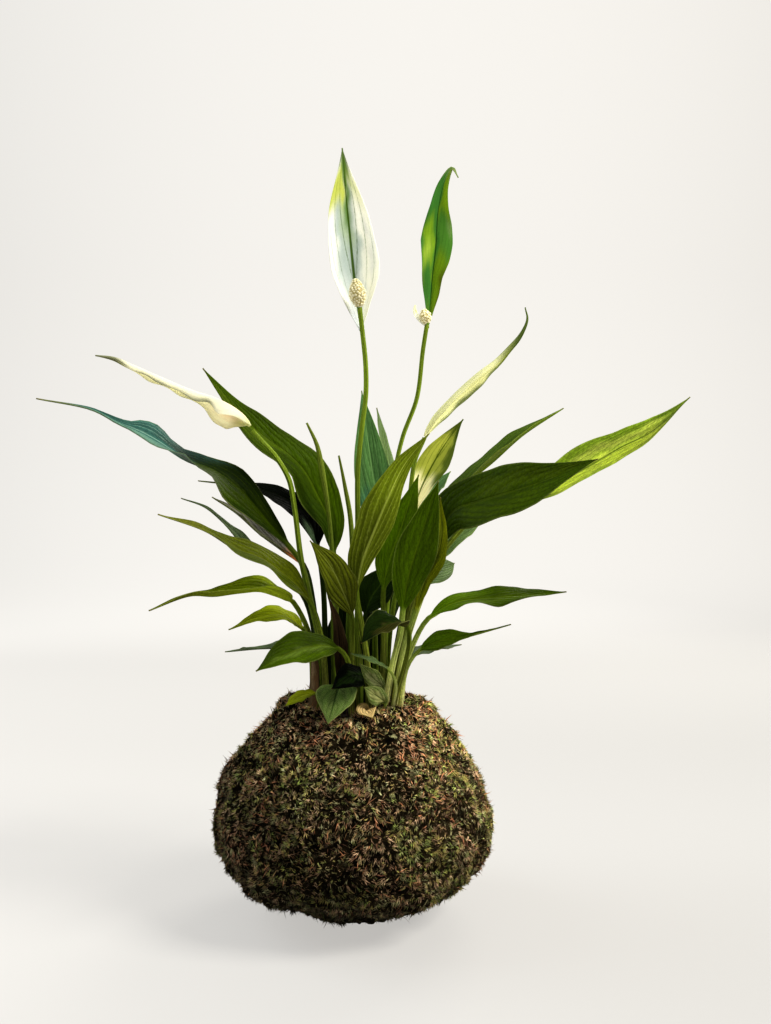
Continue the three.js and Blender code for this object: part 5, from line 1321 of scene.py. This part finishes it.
def sprigMaterial(name, colours):
    material, tree = newMaterial(name)
    shade = attribute(tree, "shade")
    dull, plain, bright = colours
    colour = colourMix(tree, ranged(tree, shade, 0.05, 0.5), dull, plain)
    colour = colourMix(tree, ranged(tree, shade, 0.6, 1.05), colour, bright)
    drift = noise(tree, mossLook["driftScale"], 3.0, "Color")
    drift = addNode(tree, "ShaderNodeSeparateColor", {"Color": drift}).outputs["Green"]
    drift = ranged(tree, drift, 0.42, 0.6)
    spot = objectSpot(tree)
    # Patches and hue drift are the moss's own colours; darker in the hollows is painted shade
    colour = times(
        tree, colour, ranged(tree, noise(tree, mossLook["patchScale"], 2.0), 0.34, 0.66, 0.6, 1.3),
        colourMix(tree, drift, mossLook["brownDrift"], mossLook["greenDrift"]),
        ranged(tree, attribute(tree, "hill"), 0.0, 1.0, 0.68, 1.2))
    # Painted shade at the root of each sprig, under the others
    fromRoot = ranged(tree, attribute(tree, "reach"), 0.0, 0.6)
    colour = colourMix(tree, fromRoot, times(tree, colour, mossLook["rootShade"]), colour)
    # Painted shade toward the bottom of the ball; painted light on its top and on its right side, toward
    # the key lamp
    colour = times(
        tree, colour, ranged(tree, spot["Z"], 0.0, 0.05, 0.18, 1.0),
        ranged(tree, spot["Z"], 0.06, 0.1, 1.0, 1.65), ranged(tree, spot["X"], -0.012, 0.045, 1.0, 1.7))
    finishMaterial(tree, principled(tree, colour, 0.7, 0.15))
    return material


mossGrid, mossRough = mossBody()
mossPoints = mossGrid.reshape(-1, 3)
hill = blendOf(-1.2, 1.0, mossRough / mossLook["grain"])
body = makePiece("moss_body", mossPoints, ringFaces(mossGrid, (True, False)), {"hill": hill},
                 mossUnderMaterial(), "moss", ["moss_cover"])
sprigs = shapeCollection("sprig", [sprigShape(leaflets) for leaflets in sprigLeaflets])
strands = shapeCollection("strand", [sprigShape(leaflets) for leaflets in strandLeaflets])

mossX, mossY, mossZ = mossPoints.T
onBall = blendOf(2, 6, mossZ)
rightward = blendOf(-35, 62, mossX + 0.1 * mossY)
upward = blendOf(20, 95, mossZ)
atRim = blendOf(80, 95, mossZ)
leftEdge = blendOf(-45, -66, mossX)
greenClumps = blendOf(0.33, 0.58, clumps(mossPoints, 46, 5) + 0.45 * (rightward - 0.5) + 0.3 * leftEdge)
rustClumps = blendOf(0.48, 0.7, clumps(mossPoints, 34, 6) + 0.15 * blendOf(75, 96, mossZ))
tanClumps = blendOf(0.45, 0.65, clumps(mossPoints, 30, 7))
mossLayers = {
    "moss_dark": dict(
        cover=1 + 0 * mossX, shapes=strands, density=160000.0, lift=(-0.1, 0.15), sink=0.0006, comb=-0.6,
        seed=11, colours=((0.03, 0.024, 0.012), (0.08, 0.06, 0.035), (0.17, 0.13, 0.075))),
    "moss_brown": dict(
        cover=0.6 + 0.4 * rustClumps - 0.3 * greenClumps, shapes=sprigs, density=300000.0,
        lift=(-0.05, 0.38), sink=0.0004, comb=-0.5, seed=12,
        colours=((0.05, 0.033, 0.020), (0.22, 0.16, 0.095), (0.34, 0.255, 0.165))),
    "moss_olive": dict(
        cover=0.65 + 0.35 * greenClumps - 0.3 * rustClumps - 0.3 * atRim, shapes=sprigs, density=290000.0,
        lift=(-0.05, 0.38), sink=0.0004, comb=-0.4, seed=13,
        colours=((0.04, 0.035, 0.017), (0.18, 0.16, 0.06), (0.33, 0.295, 0.12))),
    "moss_green": dict(
        cover=greenClumps * (0.4 + 0.6 * rightward) * (1 - 0.7 * atRim), shapes=sprigs, density=400000.0,
        lift=(0.0, 0.42), sink=0.0002, comb=-0.2, seed=14,
        colours=((0.035, 0.038, 0.014), (0.17, 0.17, 0.05), (0.31, 0.30, 0.10))),
    "moss_tan": dict(
        cover=0.15 + 0.85 * tanClumps * mixed(1, 0.7, rightward), shapes=sprigs, density=160000.0,
        lift=(0.0, 0.42), sink=0.0001, comb=-0.5, seed=15,
        colours=((0.10, 0.07, 0.045), (0.34, 0.265, 0.165), (0.48, 0.395, 0.255))),
    "moss_rust": dict(
        cover=0.04 + rustClumps * (0.3 + 0.7 * upward) + 0.4 * atRim, shapes=strands, density=190000.0,
        lift=(0.0, 0.6), sink=0.0001, comb=-0.3, seed=16,
        colours=((0.07, 0.032, 0.02), (0.27, 0.135, 0.07), (0.38, 0.215, 0.12))),
}
for name, layer in mossLayers.items():
    cover = np.clip(layer["cover"] * onBall * (0.6 + 0.5 * hill), 0, 1)
    material = sprigMaterial(name + "_skin", layer["colours"])
    strewn(name, body, cover, layer["shapes"], material, {
        "Density": layer["density"] * mossLook["perLayer"], "Spacing": 0.0, "Least Size": 0.55,
        "Most Size": 1.25, "Least Lift": layer["lift"][0], "Most Lift": layer["lift"][1],
        "Sink": layer["sink"], "Comb": layer["comb"], "Spin": mossLook["spin"], "Tuft": mossLook["tuft"],
        "Seed": layer["seed"],
    })


# Soil at the crown, with crumbs between the stems, and the roots inside it

soilLook = {
    "dark": (0.018, 0.012, 0.008), "light": (0.06, 0.04, 0.025), "grain": 900.0, "bump": 0.8, "rough": 0.95,
    "crumbs": 260000.0,
}
rootLook = {
    "dark": (0.16, 0.10, 0.05), "light": (0.50, 0.40, 0.24), "grain": 350.0, "bump": 0.6, "rough": 0.8,
}


def grainyMaterial(name, look):
    material, tree = newMaterial(name)
    grain = noise(tree, look["grain"], 4.0)
    colour = colourMix(tree, ranged(tree, grain, 0.35, 0.65), look["dark"], look["light"])
    normal = bumpFrom(tree, grain, look["bump"], 0.0006)
    finishMaterial(tree, principled(tree, colour, look["rough"], Normal=normal))
    return material


def crumbShape(size, squash):
    rings = lathed([(size * 0.6, -size * 0.5 * squash), (size, 0), (size * 0.55, size * 0.5 * squash)], 5)
    rings[1, ::2] *= 1.25
    return rings.reshape(-1, 3), ringFaces(rings), [0.5] * 15


soilSkin = grainyMaterial("soilSkin", soilLook)
frame["nodes"]["soil_ball"].data.materials.clear()
frame["nodes"]["soil_ball"].data.materials.append(soilSkin)
crumbs = shapeCollection("crumb", [crumbShape(0.9, 1.0), crumbShape(0.6, 0.8), crumbShape(1.3, 0.7)])
topRings = lathed([(1, 99.6), (12, 99.6), (22, 99.5), (35, 96)], 40, 0.8)
soilTop = makePiece("soil_top", topRings, ringFaces(topRings, (True, False)), {}, soilSkin, "soil")
strewn("soil_crumbs", soilTop, np.ones(len(soilTop.data.vertices)), crumbs, soilSkin, {
    "Density": soilLook["crumbs"], "Spacing": 0.0, "Least Size": 0.5, "Most Size": 1.2,
    "Least Lift": -0.5, "Most Lift": 0.5, "Sink": 0.0004, "Seed": 21,
})
bpy.data.objects.remove(soilTop)

crown = frame["nodes"]["crown_and_roots"]
crown.data.materials.clear()
crown.data.materials.append(grainyMaterial("rootSkin", rootLook))
print("soil and crown")


# Floor, light and camera

stageLook = {
    "floor": (0.17, 0.1675, 0.1625), "floorGlow": (0.445, 0.433, 0.415), "wallGlow": 1.41, "dip": 0.9,
    "edgeFall": 1.1, "evenNear": 0.26, "evenMiddle": 0.38, "widest": 0.45, "world": (1.0, 0.985, 0.96),
    "worldStrength": 0.40, "aim": (0, 0, 0.18), "camera": (0.016, -0.5, 0.199), "lens": 35, "sensor": 36,
}
softboxes = {
    "key": {"at": (2.55, -1.05, 2.64), "size": 1.35, "power": 180.0, "colour": (1.0, 0.97, 0.90)},
    "back": {"at": (0.5, 0.9, 0.8), "size": 0.6, "power": 9.0, "colour": (1.0, 0.97, 0.90)},
    "sky": {"at": (-2.25, 0.5, 1.98), "size": 2.0, "power": 48.0, "colour": (0.86, 0.94, 1.0)},
}


def floorSkin():
    material, tree = newMaterial("floorSkin")
    spot = objectSpot(tree)
    backward = spot["Y"]
    fromCamera = calc(tree, "MAXIMUM", calc(tree, "ADD", backward, 0.5), 0.3)
    sideways = calc(tree, "MINIMUM", calc(tree, "DIVIDE", spot["X"], fromCamera), stageLook["widest"])
    sideways = calc(tree, "MAXIMUM", sideways, -stageLook["widest"])
    evening = product(
        tree, ranged(tree, backward, 0.05, 0.4, stageLook["evenNear"], stageLook["evenMiddle"]),
        ranged(tree, backward, 0.9, 1.6, 1.0, 0.0))
    evened = calc(tree, "SUBTRACT", 1.0, product(tree, sideways, evening))
    glow = product(
        tree, ranged(tree, backward, 0.05, 0.4, 1.0, stageLook["dip"]),
        ranged(tree, backward, 0.75, 1.4, 1.0, stageLook["wallGlow"]))
    # Painted shade: the backdrop's glow falls off toward its sides like fading light
    edges = product(tree, sideways, sideways, stageLook["edgeFall"], ranged(tree, backward, 0.9, 1.45))
    glow = product(tree, evened, calc(tree, "SUBTRACT", glow, edges))
    surface = principled(tree, (*stageLook["floor"], 1), 1.0, 0.0, **{
        "Emission Color": (*stageLook["floorGlow"], 1), "Emission Strength": glow,
    })
    finishMaterial(tree, surface)
    return material


sweep = [(-3, 0), (1.2, 0)]
sweep += [(1.2 + 0.8 * math.sin(a), 0.8 - 0.8 * math.cos(a)) for a in np.linspace(0.1, math.pi / 2, 12)]
sweep += [(2.0, 3.5)]
floorPoints = np.array([[(x, y, z) for x in (-4, 4)] for y, z in sweep]) * 1000.0
floorFaces = [(2 * i, 2 * i + 1, 2 * i + 3, 2 * i + 2) for i in range(len(sweep) - 1)]
floor = makePiece("floor", floorPoints, floorFaces, {}, floorSkin(), None)

world = bpy.data.worlds.new("studio")
scene.world = world
world.use_nodes = True
background = world.node_tree.nodes["Background"]
background.inputs["Color"].default_value = (*stageLook["world"], 1)
background.inputs["Strength"].default_value = stageLook["worldStrength"]

for name, values in softboxes.items():
    data = bpy.data.lights.new(name, "AREA")
    data.shape = "SQUARE"
    data.size = values["size"]
    data.energy = values["power"]
    data.color = values["colour"]
    lamp = bpy.data.objects.new(name, data)
    scene.collection.objects.link(lamp)
    lamp.location = values["at"]
    aim = Vector(stageLook["aim"]) - Vector(values["at"])
    lamp.rotation_euler = aim.to_track_quat("-Z", "Y").to_euler()

cameraData = bpy.data.cameras.new("camera")
cameraData.lens = stageLook["lens"]
cameraData.sensor_width = stageLook["sensor"]
camera = bpy.data.objects.new("camera", cameraData)
scene.collection.objects.link(camera)
camera.location = stageLook["camera"]
camera.rotation_euler = (math.pi / 2, 0, 0)
scene.camera = camera
scene.view_settings.view_transform = "Standard"
scene.view_settings.look = "Medium High Contrast"
print("stage")
